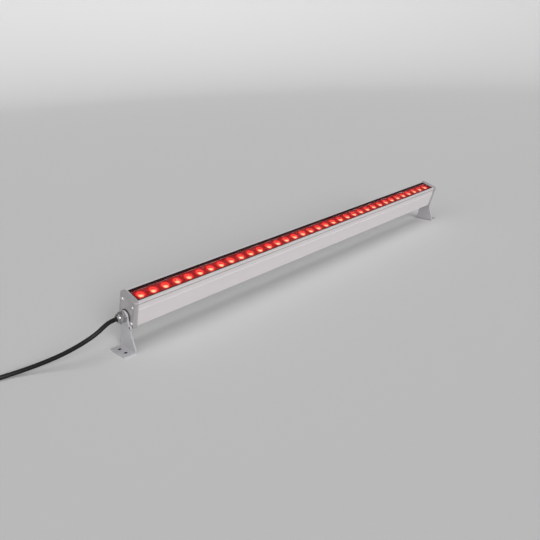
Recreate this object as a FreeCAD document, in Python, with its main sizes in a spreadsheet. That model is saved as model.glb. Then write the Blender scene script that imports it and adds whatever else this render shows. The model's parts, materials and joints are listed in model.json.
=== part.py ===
import FreeCAD, Part
import Sketcher
import math
import os
import re

# Outdoor wall washer light: a long extruded housing with a row of red light-emitting
# diodes under a recessed glass, closed by two end caps. Each cap carries a pivot, and a
# bent bracket turns on each pivot, so the lamp tilts about its own length. The cable
# leaves through a gland that is also the left-hand pivot.
#
# Frame: X runs along the lamp with the cable end at -X, the long front side faces -Y,
# and Z is up. The origin lies on the ground under the middle of the light.
# The lamp's own pieces are drawn upright about the pivot axis and then tilted.

SIZES = {
    # the lamp as a whole
    "lamp_length": 1000.0,
    "tilt": 18.0,
    "pivot_height": 68.5,
    "pivot_drop": 41.0,
    # housing section
    "body_width": 42.0,
    "body_height": 55.5,
    "base_proud": 1.0,
    "ridge_drop": 16.5,
    "ridge_rise": 1.8,
    "groove_drop": 5.0,
    "groove_width": 1.4,
    "groove_depth": 1.2,
    "rim_width": 4.0,
    "seat_drop": 5.0,
    "bay_width": 25.0,
    "web_drop": 26.0,
    "web_thick": 3.0,
    "wall_thick": 2.5,
    "heel_radius": 2.2,
    "rim_radius": 0.7,
    # end caps, their seals and their screws
    "cap_thick": 8.0,
    "cap_proud": 1.0,
    "cap_skirt": 2.0,
    "cap_corner": 4.0,
    "cap_edge": 0.8,
    "tongue_reach": 3.0,
    "seal_thick": 1.0,
    "seal_inset": 0.4,
    "lead_hole_radius": 6.0,
    "screw_radius": 1.5,
    "screw_length": 20.0,
    "screw_clearance": 0.2,
    "screw_head_radius": 4.3,
    "screw_head_height": 2.0,
    "screw_slot_width": 0.9,
    "screw_slot_depth": 0.9,
    "screw_side": 15.5,
    "screw_drop_high": 14.0,
    "screw_rise_low": 5.5,
    "boss_half": 3.5,
    # glass and its seals
    "glass_thick": 3.0,
    "glass_gap": 0.2,
    "glass_seal_thick": 1.0,
    "glass_seal_width": 4.0,
    "bead_height": 0.8,
    "bead_width": 2.6,
    # light modules
    "module_end_room": 5.0,
    "module_gap": 0.4,
    "bay_gap": 0.2,
    "pad_thick": 1.0,
    "board_thick": 1.6,
    "chip_size": 3.5,
    "chip_height": 0.8,
    "chip_dome_radius": 1.4,
    "chip_dome_height": 0.7,
    "tray_wall": 1.0,
    "tray_top_drop": 5.4,
    "lens_drop": 5.0,
    "lens_radius": 10.9,
    "lens_rim_height": 1.5,
    "lens_neck_radius": 8.4,
    "lens_tip_radius": 4.5,
    "lens_tip_gap": 0.3,
    "lens_well_radius": 3.2,
    "lens_well_depth": 1.2,
    "tray_plate_thick": 2.0,
    "tray_hole_radius": 8.6,
    "link_length": 12.0,
    "link_width": 6.0,
    "link_height": 1.2,
    # driver in the lower chamber
    "driver_length": 220.0,
    "driver_start": 60.0,
    "driver_seat_gap": 0.4,
    "slot_reach": 1.0,
    "slot_gap": 0.1,
    "transformer_length": 26.0,
    "transformer_width": 22.0,
    "transformer_height": 9.6,
    "capacitor_radius": 4.0,
    "capacitor_height": 9.8,
    "capacitor_start": 25.0,
    "capacitor_pitch": 12.0,
    "terminal_length": 12.0,
    "terminal_width": 20.0,
    "terminal_height": 8.0,
    # pivots
    "pivot_seal_radius": 12.5,
    "pivot_seal_thick": 2.5,
    "thread_clearance": 0.02,
    "pivot_clearance": 0.05,
    "stem_radius": 7.6,
    "gland_flats": 19.0,
    "gland_hex_height": 4.5,
    "gland_bore_clearance": 0.6,
    "sleeve_radius": 6.6,
    "sleeve_reach": 5.0,
    "nut_flats_less": 0.6,
    "nut_hex_height": 6.0,
    "nut_length": 10.5,
    "nut_mouth_radius": 6.6,
    "nut_round_radius": 9.2,
    "insert_gap": 0.05,
    "insert_wall": 1.55,
    "bolt_radius": 5.0,
    "bolt_flats": 17.0,
    "bolt_head_height": 6.4,
    "bolt_washer_radius": 10.5,
    "bolt_washer_thick": 2.0,
    # brackets
    "plate_thick": 3.0,
    "foot_reach": 26.5,
    "foot_width": 47.0,
    "foot_corner": 2.5,
    "foot_hole_radius": 3.0,
    "foot_hole_spacing": 20.0,
    "foot_hole_reach": 15.0,
    "bend_inner": 1.5,
    "bend_outer": 4.0,
    "leg_knee": 8.0,
    "leg_neck_half": 13.5,
    "leg_neck_height": 44.0,
    "ear_half": 17.5,
    "ear_above_neck": 5.5,
    "ear_rise": 3.0,
    "ear_hole_radius": 1.8,
    "ear_hole_side": 14.2,
    "head_radius": 11.0,
    # cable, laid out on the ground
    "cable_radius": 4.0,
    "inner_cable_reach": 30.0,
    "coil_radius": 54.0,
    "coil_gap": 0.5,
    "coil_half_turns": 5.0,
    "tail_radius": 32.0,
    "tie_width": 4.8,
    "tie_thick": 1.3,
    "tie_gap": 0.2,
    "tie_head_length": 6.0,
    "tie_head_height": 3.5,
    "core_radius": 1.2,
    "core_offset": 1.9,
    "core_length": 18.0,
    "core_bend": 20.0,
    "strand_radius": 0.7,
    "strand_length": 7.0,
}

LED_COUNT = 36
MODULE_COUNT = 6
LEDS_PER_MODULE = LED_COUNT // MODULE_COUNT
CAPACITOR_COUNT = 3
CORE_COUNT = 3
LEFT, RIGHT = -1, 1
SIDES = {"left": LEFT, "right": RIGHT}

# Formulas that several pieces share, written with the names of the sizes above.
PIVOT_Y = "(2 * pivot_drop - body_height - cap_skirt) / 2 * sin(tilt)"
HALF_LENGTH = "lamp_length / 2"
HALF_WIDTH = "body_width / 2"
HALF_BASE = "(body_width / 2 + base_proud)"
BOTTOM = "(pivot_drop - body_height)"
CHANNEL_HALF = "(body_width / 2 - rim_width)"
CHAMBER_HALF = "(body_width / 2 + base_proud - wall_thick)"
CHAMBER_TOP = "(pivot_drop - web_drop - web_thick)"
BODY_END = "(lamp_length / 2 - cap_thick - seal_thick)"
BOARD_TOP = "(pivot_drop - web_drop + pad_thick + board_thick)"
TRAY_HALF = "(bay_width / 2 - bay_gap)"
GLASS_BOTTOM = "(pivot_drop - seat_drop + glass_seal_thick)"
GLASS_END = "(lamp_length / 2 - cap_thick - tongue_reach)"
LIT_LENGTH = "(lamp_length - 2 * (cap_thick + seal_thick + module_end_room))"
MODULE_PITCH = "(%s / %d)" % (LIT_LENGTH, MODULE_COUNT)
LED_PITCH = "(%s / %d)" % (LIT_LENGTH, LED_COUNT)
SCREW_HIGH = "(pivot_drop - screw_drop_high)"
SCREW_LOW = "(pivot_drop - body_height + screw_rise_low)"
DRIVER_LOW = "(-lamp_length / 2 + driver_start)"
BOSS_TOP = "(%s + boss_half)" % SCREW_LOW
DRIVER_TOP = "(%s + driver_seat_gap + board_thick)" % BOSS_TOP
EAR_HEIGHT = "(leg_neck_height + ear_above_neck)"
GLAND_BORE = "(cable_radius + gland_bore_clearance)"
INSERT_RADIUS = "(cable_radius + insert_gap + insert_wall)"
PLATE_INNER = "(lamp_length / 2 + pivot_seal_thick)"
PLATE_OUTER = "(lamp_length / 2 + pivot_seal_thick + plate_thick)"
NUT_START = "(lamp_length / 2 + pivot_seal_thick + plate_thick + gland_hex_height)"
EXIT_REACH = "(lamp_length / 2 + pivot_seal_thick + plate_thick + gland_hex_height + nut_length)"
FLATS_TO_CORNERS = "cos(30)"

DOC = FreeCAD.newDocument("WallWasher")
SHEET = DOC.addObject("Spreadsheet::Sheet", "Sizes")
TRIAL = DOC.addObject("Spreadsheet::Sheet", "Trial")
PIECES = []


def fill_sheet():
    """Write every driving size into the sheet under its own name."""
    for row, (name, value) in enumerate(SIZES.items(), start=1):
        SHEET.set("A%d" % row, name)
        SHEET.set("B%d" % row, repr(value))
        SHEET.setAlias("B%d" % row, name)
    DOC.recompute()


def size(name):
    """Read one size back from the sheet."""
    return float(SHEET.get(name))


def formula(text):
    """Turn each size name in a formula into a reference to the sheet."""
    def refer(found):
        word = found.group(0)
        return "Sizes." + word if word in SIZES else word
    return re.sub(r"[a-z][a-z_]*", refer, text)


def bind(item, prop, text):
    """Bind one property of an object to a formula."""
    item.setExpression(prop, formula(text))


def shift(item, where):
    """Bind an object's place to three formulas."""
    for axis, text in zip("xyz", where):
        bind(item, "Placement.Base." + axis, text)


def finish(item, label):
    """Give a finished piece its label and keep it for export."""
    item.Label = label
    PIECES.append(item)
    return item


def in_lamp(item, label):
    """Place a piece that tilts with the lamp: drawn about the pivot, then turned."""
    item.Placement = FreeCAD.Placement(
        FreeCAD.Vector(), FreeCAD.Rotation(FreeCAD.Vector(1, 0, 0), size("tilt")))
    bind(item, "Placement.Rotation.Angle", "tilt")
    shift(item, ("0", PIVOT_Y, "pivot_height"))
    return finish(item, label)


def in_bracket(item, label):
    """Place a bracket piece: upright, centred under the pivot."""
    shift(item, ("0", PIVOT_Y, "0"))
    return finish(item, label)


# ---- sketched pieces -------------------------------------------------------------

PLANES = {"YZ": "YZ_Plane", "XY": "XY_Plane"}


def new_body(name):
    """Start a PartDesign body."""
    return DOC.addObject("PartDesign::Body", name + "_body")


def new_sketch(body, name, plane, offset):
    """Attach a sketch to one of its own body's planes, moved along the normal."""
    sketch = body.newObject("Sketcher::SketchObject", name)
    role = PLANES[plane]
    support = [f for f in body.Origin.OriginFeatures if f.Role == role][0]
    sketch.AttachmentSupport = [(support, "")]
    sketch.MapMode = "FlatFace"
    bind(sketch, "AttachmentOffset.Base.z", offset)
    return sketch


def value_of(text):
    """Work a formula out on a sheet of its own, to start a sketch close to its solved shape."""
    TRIAL.set("A1", "=" + formula(text))
    TRIAL.recompute()
    return float(TRIAL.get("A1"))


def draw_polygon(sketch, points):
    """Draw a closed outline whose every corner is bound to two formulas."""
    first = sketch.GeometryCount
    places = [FreeCAD.Vector(value_of(a), value_of(b), 0) for a, b in points]
    count = len(points)
    for index in range(count):
        sketch.addGeometry(Part.LineSegment(places[index], places[(index + 1) % count]), False)
    for index in range(count):
        here = first + index
        following = first + (index + 1) % count
        sketch.addConstraint(Sketcher.Constraint("Coincident", here, 2, following, 1))
    for index, (across, up) in enumerate(points):
        here = first + index
        for kind, text, value in (("DistanceX", across, places[index].x),
                                  ("DistanceY", up, places[index].y)):
            number = sketch.addConstraint(Sketcher.Constraint(kind, -1, 1, here, 1, value))
            sketch.setExpression("Constraints[%d]" % number, formula(text))


def draw_circle(sketch, across, up, radius):
    """Draw a circle with its centre and radius bound to formulas."""
    here = sketch.GeometryCount
    centre = FreeCAD.Vector(value_of(across), value_of(up), 0)
    sketch.addGeometry(Part.Circle(centre, FreeCAD.Vector(0, 0, 1), value_of(radius)), False)
    for kind, text, value in (("DistanceX", across, centre.x), ("DistanceY", up, centre.y)):
        number = sketch.addConstraint(Sketcher.Constraint(kind, -1, 1, here, 3, value))
        sketch.setExpression("Constraints[%d]" % number, formula(text))
    number = sketch.addConstraint(Sketcher.Constraint("Radius", here, value_of(radius)))
    sketch.setExpression("Constraints[%d]" % number, formula(radius))


def rectangle(low_across, low_up, high_across, high_up):
    """The four corners of a rectangle, as formulas."""
    return [(low_across, low_up), (high_across, low_up),
            (high_across, high_up), (low_across, high_up)]


def mirrored(points):
    """An outline's right-hand half, from bottom to top, closed by its mirror image."""
    other = [("-(%s)" % across, up) for across, up in reversed(points)]
    return points + other


def add_pad(body, name, plane, offset, length, outlines, circles=()):
    """Add a sketch of outlines and circles to a body and pad it."""
    sketch = new_sketch(body, name + "_sketch", plane, offset)
    for outline in outlines:
        draw_polygon(sketch, outline)
    for circle in circles:
        draw_circle(sketch, *circle)
    pad = body.newObject("PartDesign::Pad", name)
    pad.Profile = sketch
    bind(pad, "Length", length)
    DOC.recompute()
    return pad


def add_pocket(body, name, plane, offset, depth, outlines, circles=()):
    """Cut a sketch of outlines and circles into a body, against the sketch's normal."""
    sketch = new_sketch(body, name + "_sketch", plane, offset)
    for outline in outlines:
        draw_polygon(sketch, outline)
    for circle in circles:
        draw_circle(sketch, *circle)
    before = body.Shape.Volume
    pocket = body.newObject("PartDesign::Pocket", name)
    pocket.Profile = sketch
    bind(pocket, "Length", depth)
    DOC.recompute()
    if not body.Shape.Volume < before:
        raise RuntimeError(name + " cut nothing")
    return pocket


def add_fillet(body, name, radius, wanted):
    """Round the edges of a body's last feature that a test picks out."""
    base = body.Tip
    edges = ["Edge%d" % (number + 1) for number, edge in enumerate(base.Shape.Edges)
             if wanted(edge)]
    if not edges:
        raise RuntimeError(name + " found no edge")
    fillet = body.newObject("PartDesign::Fillet", name)
    fillet.Base = (base, edges)
    bind(fillet, "Radius", radius)
    DOC.recompute()
    return fillet


def runs_along(edge, axis):
    """True for a straight edge parallel to an axis."""
    if not isinstance(edge.Curve, Part.Line):
        return False
    along = edge.tangentAt(edge.FirstParameter)
    return abs(abs(along.dot(axis)) - 1) < 1e-6


NEAR = 1e-4
X_AXIS = FreeCAD.Vector(1, 0, 0)
Y_AXIS = FreeCAD.Vector(0, 1, 0)
Z_AXIS = FreeCAD.Vector(0, 0, 1)


# ---- primitive pieces ------------------------------------------------------------

def box(name, start, sizes):
    """A block from its low corner, every number a formula."""
    item = DOC.addObject("Part::Box", name)
    for prop, text in zip(("Length", "Width", "Height"), sizes):
        bind(item, prop, text)
    shift(item, start)
    return item


ALONG_X = FreeCAD.Rotation(FreeCAD.Vector(0, 1, 0), 90)


def rod(name, start, radius, length, upright=False):
    """A cylinder from a centre point, running along +X or, if upright, +Z."""
    item = DOC.addObject("Part::Cylinder", name)
    bind(item, "Radius", radius)
    bind(item, "Height", length)
    if not upright:
        item.Placement = FreeCAD.Placement(FreeCAD.Vector(), ALONG_X)
    shift(item, start)
    return item


def cone(name, start, low_radius, high_radius, length, upright=False):
    """A cone from a centre point, running along +X or, if upright, +Z."""
    item = DOC.addObject("Part::Cone", name)
    bind(item, "Radius1", low_radius)
    bind(item, "Radius2", high_radius)
    bind(item, "Height", length)
    if not upright:
        item.Placement = FreeCAD.Placement(FreeCAD.Vector(), ALONG_X)
    shift(item, start)
    return item


def hexagon(name, start, flats, length):
    """A six-sided bar along +X, from its width over the flats."""
    item = DOC.addObject("Part::Prism", name)
    item.Polygon = 6
    bind(item, "Circumradius", "(%s) / 2 / %s" % (flats, FLATS_TO_CORNERS))
    bind(item, "Height", length)
    item.Placement = FreeCAD.Placement(FreeCAD.Vector(), ALONG_X)
    shift(item, start)
    return item


def fuse(name, items):
    """Join overlapping or touching items into one solid."""
    item = DOC.addObject("Part::MultiFuse", name)
    item.Shapes = items
    return item


def cut(name, base, tools):
    """Cut several tools out of a base."""
    item = DOC.addObject("Part::Cut", name)
    item.Base = base
    item.Tool = tools[0] if len(tools) == 1 else fuse(name + "_tools", tools)
    return item


def group(name, items):
    """Keep items as separate solids of one piece."""
    item = DOC.addObject("Part::Compound", name)
    item.Links = items
    return item


def outward(side, formula_text):
    """A place along X, measured from the middle towards one end."""
    return "%d * (%s)" % (side, formula_text)


def span_start(side, near, far):
    """The low X end of a span that lies between two distances from the middle."""
    return near if side == RIGHT else "-(%s)" % far


# ---- housing ---------------------------------------------------------------------

def make_housing():
    """The extruded body: glass channel, lens bay, web, driver chamber, screw ports."""
    groove_floor = HALF_WIDTH + " - groove_depth"
    groove_low = "pivot_drop - groove_drop - groove_width"
    outer = mirrored([
        (HALF_BASE, BOTTOM),
        (HALF_BASE, "pivot_drop - ridge_drop - ridge_rise"),
        (HALF_WIDTH, "pivot_drop - ridge_drop"),
        (HALF_WIDTH, groove_low),
        (groove_floor, groove_low),
        (groove_floor, "pivot_drop - groove_drop"),
        (HALF_WIDTH, "pivot_drop - groove_drop"),
        (HALF_WIDTH, "pivot_drop"),
        (CHANNEL_HALF, "pivot_drop"),
        (CHANNEL_HALF, "pivot_drop - seat_drop"),
        ("bay_width / 2", "pivot_drop - seat_drop"),
        ("bay_width / 2", "pivot_drop - web_drop"),
    ])
    slot_half = CHAMBER_HALF + " + slot_reach"
    slot_low = DRIVER_TOP + " - board_thick"
    slot_high = DRIVER_TOP + " + slot_gap"
    boss_inner = "screw_side - boss_half"
    chamber = mirrored([
        (boss_inner, BOTTOM + " + wall_thick"),
        (boss_inner, BOSS_TOP),
        (CHAMBER_HALF, BOSS_TOP),
        (CHAMBER_HALF, slot_low),
        (slot_half, slot_low),
        (slot_half, slot_high),
        (CHAMBER_HALF, slot_high),
        (CHAMBER_HALF, CHAMBER_TOP),
    ])
    ports = [(across, up, "screw_radius + thread_clearance") for across, up in screw_places()]
    body = new_body("housing")
    add_pad(body, "housing_section", "YZ", "-" + BODY_END, "2 * " + BODY_END,
            [outer, chamber], ports)
    low = value_of(BOTTOM)
    base_half = value_of(HALF_BASE)
    add_fillet(body, "housing_heels", "heel_radius", lambda edge: runs_along(edge, X_AXIS)
               and abs(edge.CenterOfMass.z - low) < NEAR
               and abs(abs(edge.CenterOfMass.y) - base_half) < NEAR)
    top = size("pivot_drop")
    half = value_of(HALF_WIDTH)
    add_fillet(body, "housing_rims", "rim_radius", lambda edge: runs_along(edge, X_AXIS)
               and abs(edge.CenterOfMass.z - top) < NEAR
               and abs(abs(edge.CenterOfMass.y) - half) < NEAR)
    in_lamp(body, "housing")


# ---- end caps --------------------------------------------------------------------

def screw_places():
    """The four screw axes of a cap, as formulas across and up."""
    return [("%d * screw_side" % side, up) for side in (-1, 1) for up in (SCREW_HIGH, SCREW_LOW)]


def make_end_cap(word, side):
    """A cast plate with a tongue that closes the end of the glass channel."""
    hole = "stem_radius + thread_clearance" if side == LEFT else "bolt_radius + thread_clearance"
    half = HALF_BASE + " + cap_proud"
    low = BOTTOM + " - cap_proud - cap_skirt"
    high = "pivot_drop + cap_proud"
    plate = rectangle("-(%s)" % half, low, half, high)
    holes = [(across, up, "screw_radius + screw_clearance") for across, up in screw_places()]
    holes.append(("0", "0", hole))
    start = span_start(side, HALF_LENGTH + " - cap_thick", HALF_LENGTH)
    body = new_body("end_cap_" + word)
    add_pad(body, "cap_plate_" + word, "YZ", start, "cap_thick", [plate], holes)
    edge_half = value_of(half)
    add_fillet(body, "cap_corners_" + word, "cap_corner", lambda edge: runs_along(edge, X_AXIS)
               and abs(abs(edge.CenterOfMass.y) - edge_half) < NEAR)
    face = side * value_of(HALF_LENGTH)
    add_fillet(body, "cap_edge_" + word, "cap_edge",
               lambda edge: abs(edge.CenterOfMass.x - face) < NEAR
               and not (isinstance(edge.Curve, Part.Circle) and edge.isClosed()))
    tongue_half = CHANNEL_HALF + " - glass_gap / 2"
    tongue = rectangle("-(%s)" % tongue_half, "pivot_drop - seat_drop", tongue_half, "pivot_drop")
    tongue_start = span_start(side, HALF_LENGTH + " - cap_thick - tongue_reach",
                              HALF_LENGTH + " - cap_thick")
    add_pad(body, "cap_tongue_" + word, "YZ", tongue_start, "tongue_reach", [tongue])
    in_lamp(body, "end_cap_" + word)


def make_end_seal(word, side):
    """A flat rubber seal between the cap and the housing, notched for the tongue."""
    outline = mirrored([
        (HALF_BASE + " - seal_inset", BOTTOM + " + seal_inset"),
        (HALF_BASE + " - seal_inset", "pivot_drop - ridge_drop - ridge_rise"),
        (HALF_WIDTH + " - seal_inset", "pivot_drop - ridge_drop"),
        (HALF_WIDTH + " - seal_inset", "pivot_drop - seal_inset"),
        (CHANNEL_HALF, "pivot_drop - seal_inset"),
        (CHANNEL_HALF, "pivot_drop - seat_drop"),
    ])
    holes = [(across, up, "screw_radius + screw_clearance") for across, up in screw_places()]
    holes.append(("0", "0", "lead_hole_radius"))
    start = span_start(side, BODY_END, HALF_LENGTH + " - cap_thick")
    body = new_body("end_seal_" + word)
    add_pad(body, "end_seal_sheet_" + word, "YZ", start, "seal_thick", [outline], holes)
    in_lamp(body, "end_seal_" + word)


def make_cap_screws(word, side):
    """Four slotted pan-head screws through a cap, as separate solids."""
    screws = []
    head_start = span_start(side, HALF_LENGTH, HALF_LENGTH + " + screw_head_height")
    shank_start = span_start(side, HALF_LENGTH + " - screw_length", HALF_LENGTH)
    slot_start = span_start(side, HALF_LENGTH + " + screw_head_height - screw_slot_depth",
                            HALF_LENGTH + " + screw_head_height")
    for number, (across, up) in enumerate(screw_places(), start=1):
        name = "screw_%s_%d" % (word, number)
        head = rod(name + "_head", (head_start, across, up),
                   "screw_head_radius", "screw_head_height")
        shank = rod(name + "_shank", (shank_start, across, up), "screw_radius", "screw_length")
        solid = fuse(name + "_solid", [head, shank])
        upright = box(name + "_slot_up",
                      (slot_start, across + " - screw_slot_width / 2", up + " - screw_head_radius / 2"),
                      ("screw_slot_depth", "screw_slot_width", "screw_head_radius"))
        level = box(name + "_slot_across",
                    (slot_start, across + " - screw_head_radius / 2", up + " - screw_slot_width / 2"),
                    ("screw_slot_depth", "screw_head_radius", "screw_slot_width"))
        screws.append(cut(name, solid, [upright, level]))
    in_lamp(group("cap_screws_" + word + "_set", screws), "cap_screws_" + word)


# ---- glass -----------------------------------------------------------------------

def make_ring(label, bottom, height, outer_half, ring_width):
    """A flat frame that runs round the glass channel."""
    end = GLASS_END
    outer = rectangle("-(%s)" % end, "-(%s)" % outer_half, end, outer_half)
    inner_end = "%s - %s" % (end, ring_width)
    inner_half = "%s - %s" % (outer_half, ring_width)
    inner = rectangle("-(%s)" % inner_end, "-(%s)" % inner_half, inner_end, inner_half)
    body = new_body(label)
    add_pad(body, label + "_frame", "XY", bottom, height, [outer, inner])
    in_lamp(body, label)


def make_glass():
    """The clear pane, the seal under its edges and the bead of sealant on top."""
    make_ring("glass_seal", "pivot_drop - seat_drop", "glass_seal_thick", CHANNEL_HALF,
              "glass_seal_width")
    end = GLASS_END + " - glass_gap"
    half = CHANNEL_HALF + " - glass_gap"
    body = new_body("glass_cover")
    pane = rectangle("-(%s)" % end, "-(%s)" % half, end, half)
    add_pad(body, "glass_pane", "XY", GLASS_BOTTOM, "glass_thick", [pane])
    in_lamp(body, "glass_cover")
    make_ring("sealant_bead", GLASS_BOTTOM + " + glass_thick", "bead_height", CHANNEL_HALF,
              "bead_width")


# ---- light modules ---------------------------------------------------------------

def module_centre(number):
    """The middle of a module along X, counted from the cable end."""
    return "(%g * %s)" % (number - (MODULE_COUNT + 1) / 2, MODULE_PITCH)


def led_place(number, index):
    """A diode's place along X within a module."""
    steps = index - (LEDS_PER_MODULE - 1) / 2
    return "%s + %g * %s" % (module_centre(number), steps, LED_PITCH)


def make_thermal_pad():
    """The strip of heat-conducting rubber between the boards and the web."""
    body = new_body("thermal_pad")
    half_length = "(%s / 2)" % LIT_LENGTH
    strip = rectangle("-" + half_length, "-" + TRAY_HALF, half_length, TRAY_HALF)
    add_pad(body, "thermal_strip", "XY", "pivot_drop - web_drop", "pad_thick", [strip])
    in_lamp(body, "thermal_pad")


def module_ends(number):
    """The low and high X ends of a module, with its share of the gap taken off."""
    middle = module_centre(number)
    half = "(%s - module_gap) / 2" % MODULE_PITCH
    return "%s - %s" % (middle, half), "%s + %s" % (middle, half)


def make_led_board(number):
    """One metal-backed circuit board."""
    low, high = module_ends(number)
    body = new_body("led_board_%d" % number)
    add_pad(body, "led_board_plate_%d" % number, "XY", BOARD_TOP + " - board_thick",
            "board_thick", [rectangle(low, "-" + TRAY_HALF, high, TRAY_HALF)])
    in_lamp(body, "led_board_%d" % number)


def make_emitters(number):
    """The diodes of one board: a square package with a small dome, six solids."""
    chips = []
    for index in range(LEDS_PER_MODULE):
        name = "chip_%d_%d" % (number, index + 1)
        middle = led_place(number, index)
        package = box(name + "_package", (middle + " - chip_size / 2", "-chip_size / 2", BOARD_TOP),
                      ("chip_size", "chip_size", "chip_height"))
        dome = rod(name + "_dome", (middle, "0", BOARD_TOP + " + chip_height"),
                   "chip_dome_radius", "chip_dome_height", upright=True)
        chips.append(fuse(name, [package, dome]))
    in_lamp(group("led_emitters_%d_set" % number, chips), "led_emitters_%d" % number)


def make_lens_tray(number):
    """A black channel that stands on the board and carries six lenses."""
    low, high = module_ends(number)
    wall_inner = TRAY_HALF + " - tray_wall"
    plate_top = "pivot_drop - lens_drop - lens_rim_height"
    section = mirrored([
        (TRAY_HALF, BOARD_TOP),
        (TRAY_HALF, "pivot_drop - tray_top_drop"),
        (wall_inner, "pivot_drop - tray_top_drop"),
        (wall_inner, plate_top),
    ])
    body = new_body("lens_tray_%d" % number)
    add_pad(body, "lens_tray_block_%d" % number, "YZ", low, "%s - (%s)" % (high, low), [section])
    plate_bottom = plate_top + " - tray_plate_thick"
    hollow = rectangle(low, "-(%s)" % wall_inner, high, wall_inner)
    add_pocket(body, "lens_tray_hollow_%d" % number, "XY", plate_bottom,
               "%s - %s" % (plate_bottom, BOARD_TOP), [hollow])
    seats = [(led_place(number, index), "0", "tray_hole_radius")
             for index in range(LEDS_PER_MODULE)]
    add_pocket(body, "lens_tray_seats_%d" % number, "XY", plate_top, "tray_plate_thick", [], seats)
    in_lamp(body, "lens_tray_%d" % number)


def make_lenses(number):
    """Six collimating lenses: a thin rim on the tray, a cone down to the diode."""
    lenses = []
    rim_bottom = "pivot_drop - lens_drop - lens_rim_height"
    tip = BOARD_TOP + " + chip_height + chip_dome_height + lens_tip_gap"
    for index in range(LEDS_PER_MODULE):
        name = "lens_%d_%d" % (number, index + 1)
        middle = led_place(number, index)
        rim = rod(name + "_rim", (middle, "0", rim_bottom), "lens_radius", "lens_rim_height",
                  upright=True)
        body = cone(name + "_cone", (middle, "0", tip), "lens_tip_radius", "lens_neck_radius",
                    "%s - (%s)" % (rim_bottom, tip), upright=True)
        well = rod(name + "_well", (middle, "0", "pivot_drop - lens_drop - lens_well_depth"),
                   "lens_well_radius", "lens_well_depth", upright=True)
        lenses.append(cut(name, fuse(name + "_solid", [rim, body]), [well]))
    in_lamp(group("lenses_%d_set" % number, lenses), "lenses_%d" % number)


def make_board_links():
    """Small jumper blocks that carry the supply from board to board."""
    links = []
    for joint in range(1, MODULE_COUNT):
        middle = "%s + %s / 2" % (module_centre(joint), MODULE_PITCH)
        links.append(box("board_link_%d" % joint,
                         (middle + " - link_length / 2", "-link_width / 2", BOARD_TOP),
                         ("link_length", "link_width", "link_height")))
    in_lamp(group("board_links_set", links), "board_links")


# ---- driver ----------------------------------------------------------------------

def make_driver():
    """The power board in its slots, and what stands on it."""
    body = new_body("driver_board")
    half = CHAMBER_HALF + " + slot_reach - slot_gap"
    plate = rectangle(DRIVER_LOW, "-(%s)" % half, DRIVER_LOW + " + driver_length", half)
    add_pad(body, "driver_plate", "XY", DRIVER_TOP + " - board_thick", "board_thick", [plate])
    in_lamp(body, "driver_board")
    terminal = box("terminal_block_solid",
                   (DRIVER_LOW, "-terminal_width / 2", DRIVER_TOP),
                   ("terminal_length", "terminal_width", "terminal_height"))
    in_lamp(group("terminal_block_set", [terminal]), "terminal_block")
    middle = DRIVER_LOW + " + driver_length / 2"
    transformer = box("transformer_solid",
                      (middle + " - transformer_length / 2", "-transformer_width / 2", DRIVER_TOP),
                      ("transformer_length", "transformer_width", "transformer_height"))
    in_lamp(group("transformer_set", [transformer]), "transformer")
    cans = []
    for number in range(1, CAPACITOR_COUNT + 1):
        place = "%s + transformer_length / 2 + capacitor_start + %d * capacitor_pitch" % (
            middle, number - 1)
        cans.append(rod("capacitor_%d" % number, (place, "0", DRIVER_TOP),
                        "capacitor_radius", "capacitor_height", upright=True))
    in_lamp(group("capacitors_set", cans), "capacitors")


# ---- pivots ----------------------------------------------------------------------

def make_pivot_seal(word, side):
    """The black rubber disc between a cap and its bracket."""
    start = span_start(side, HALF_LENGTH, PLATE_INNER)
    shaft = "stem_radius" if side == LEFT else "bolt_radius"
    disc = rod("pivot_seal_%s_disc" % word, (start, "0", "0"), "pivot_seal_radius",
               "pivot_seal_thick")
    hole = rod("pivot_seal_%s_hole" % word, (start, "0", "0"), shaft + " + pivot_clearance",
               "pivot_seal_thick")
    in_lamp(cut("pivot_seal_%s_ring" % word, disc, [hole]), "pivot_seal_" + word)


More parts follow.
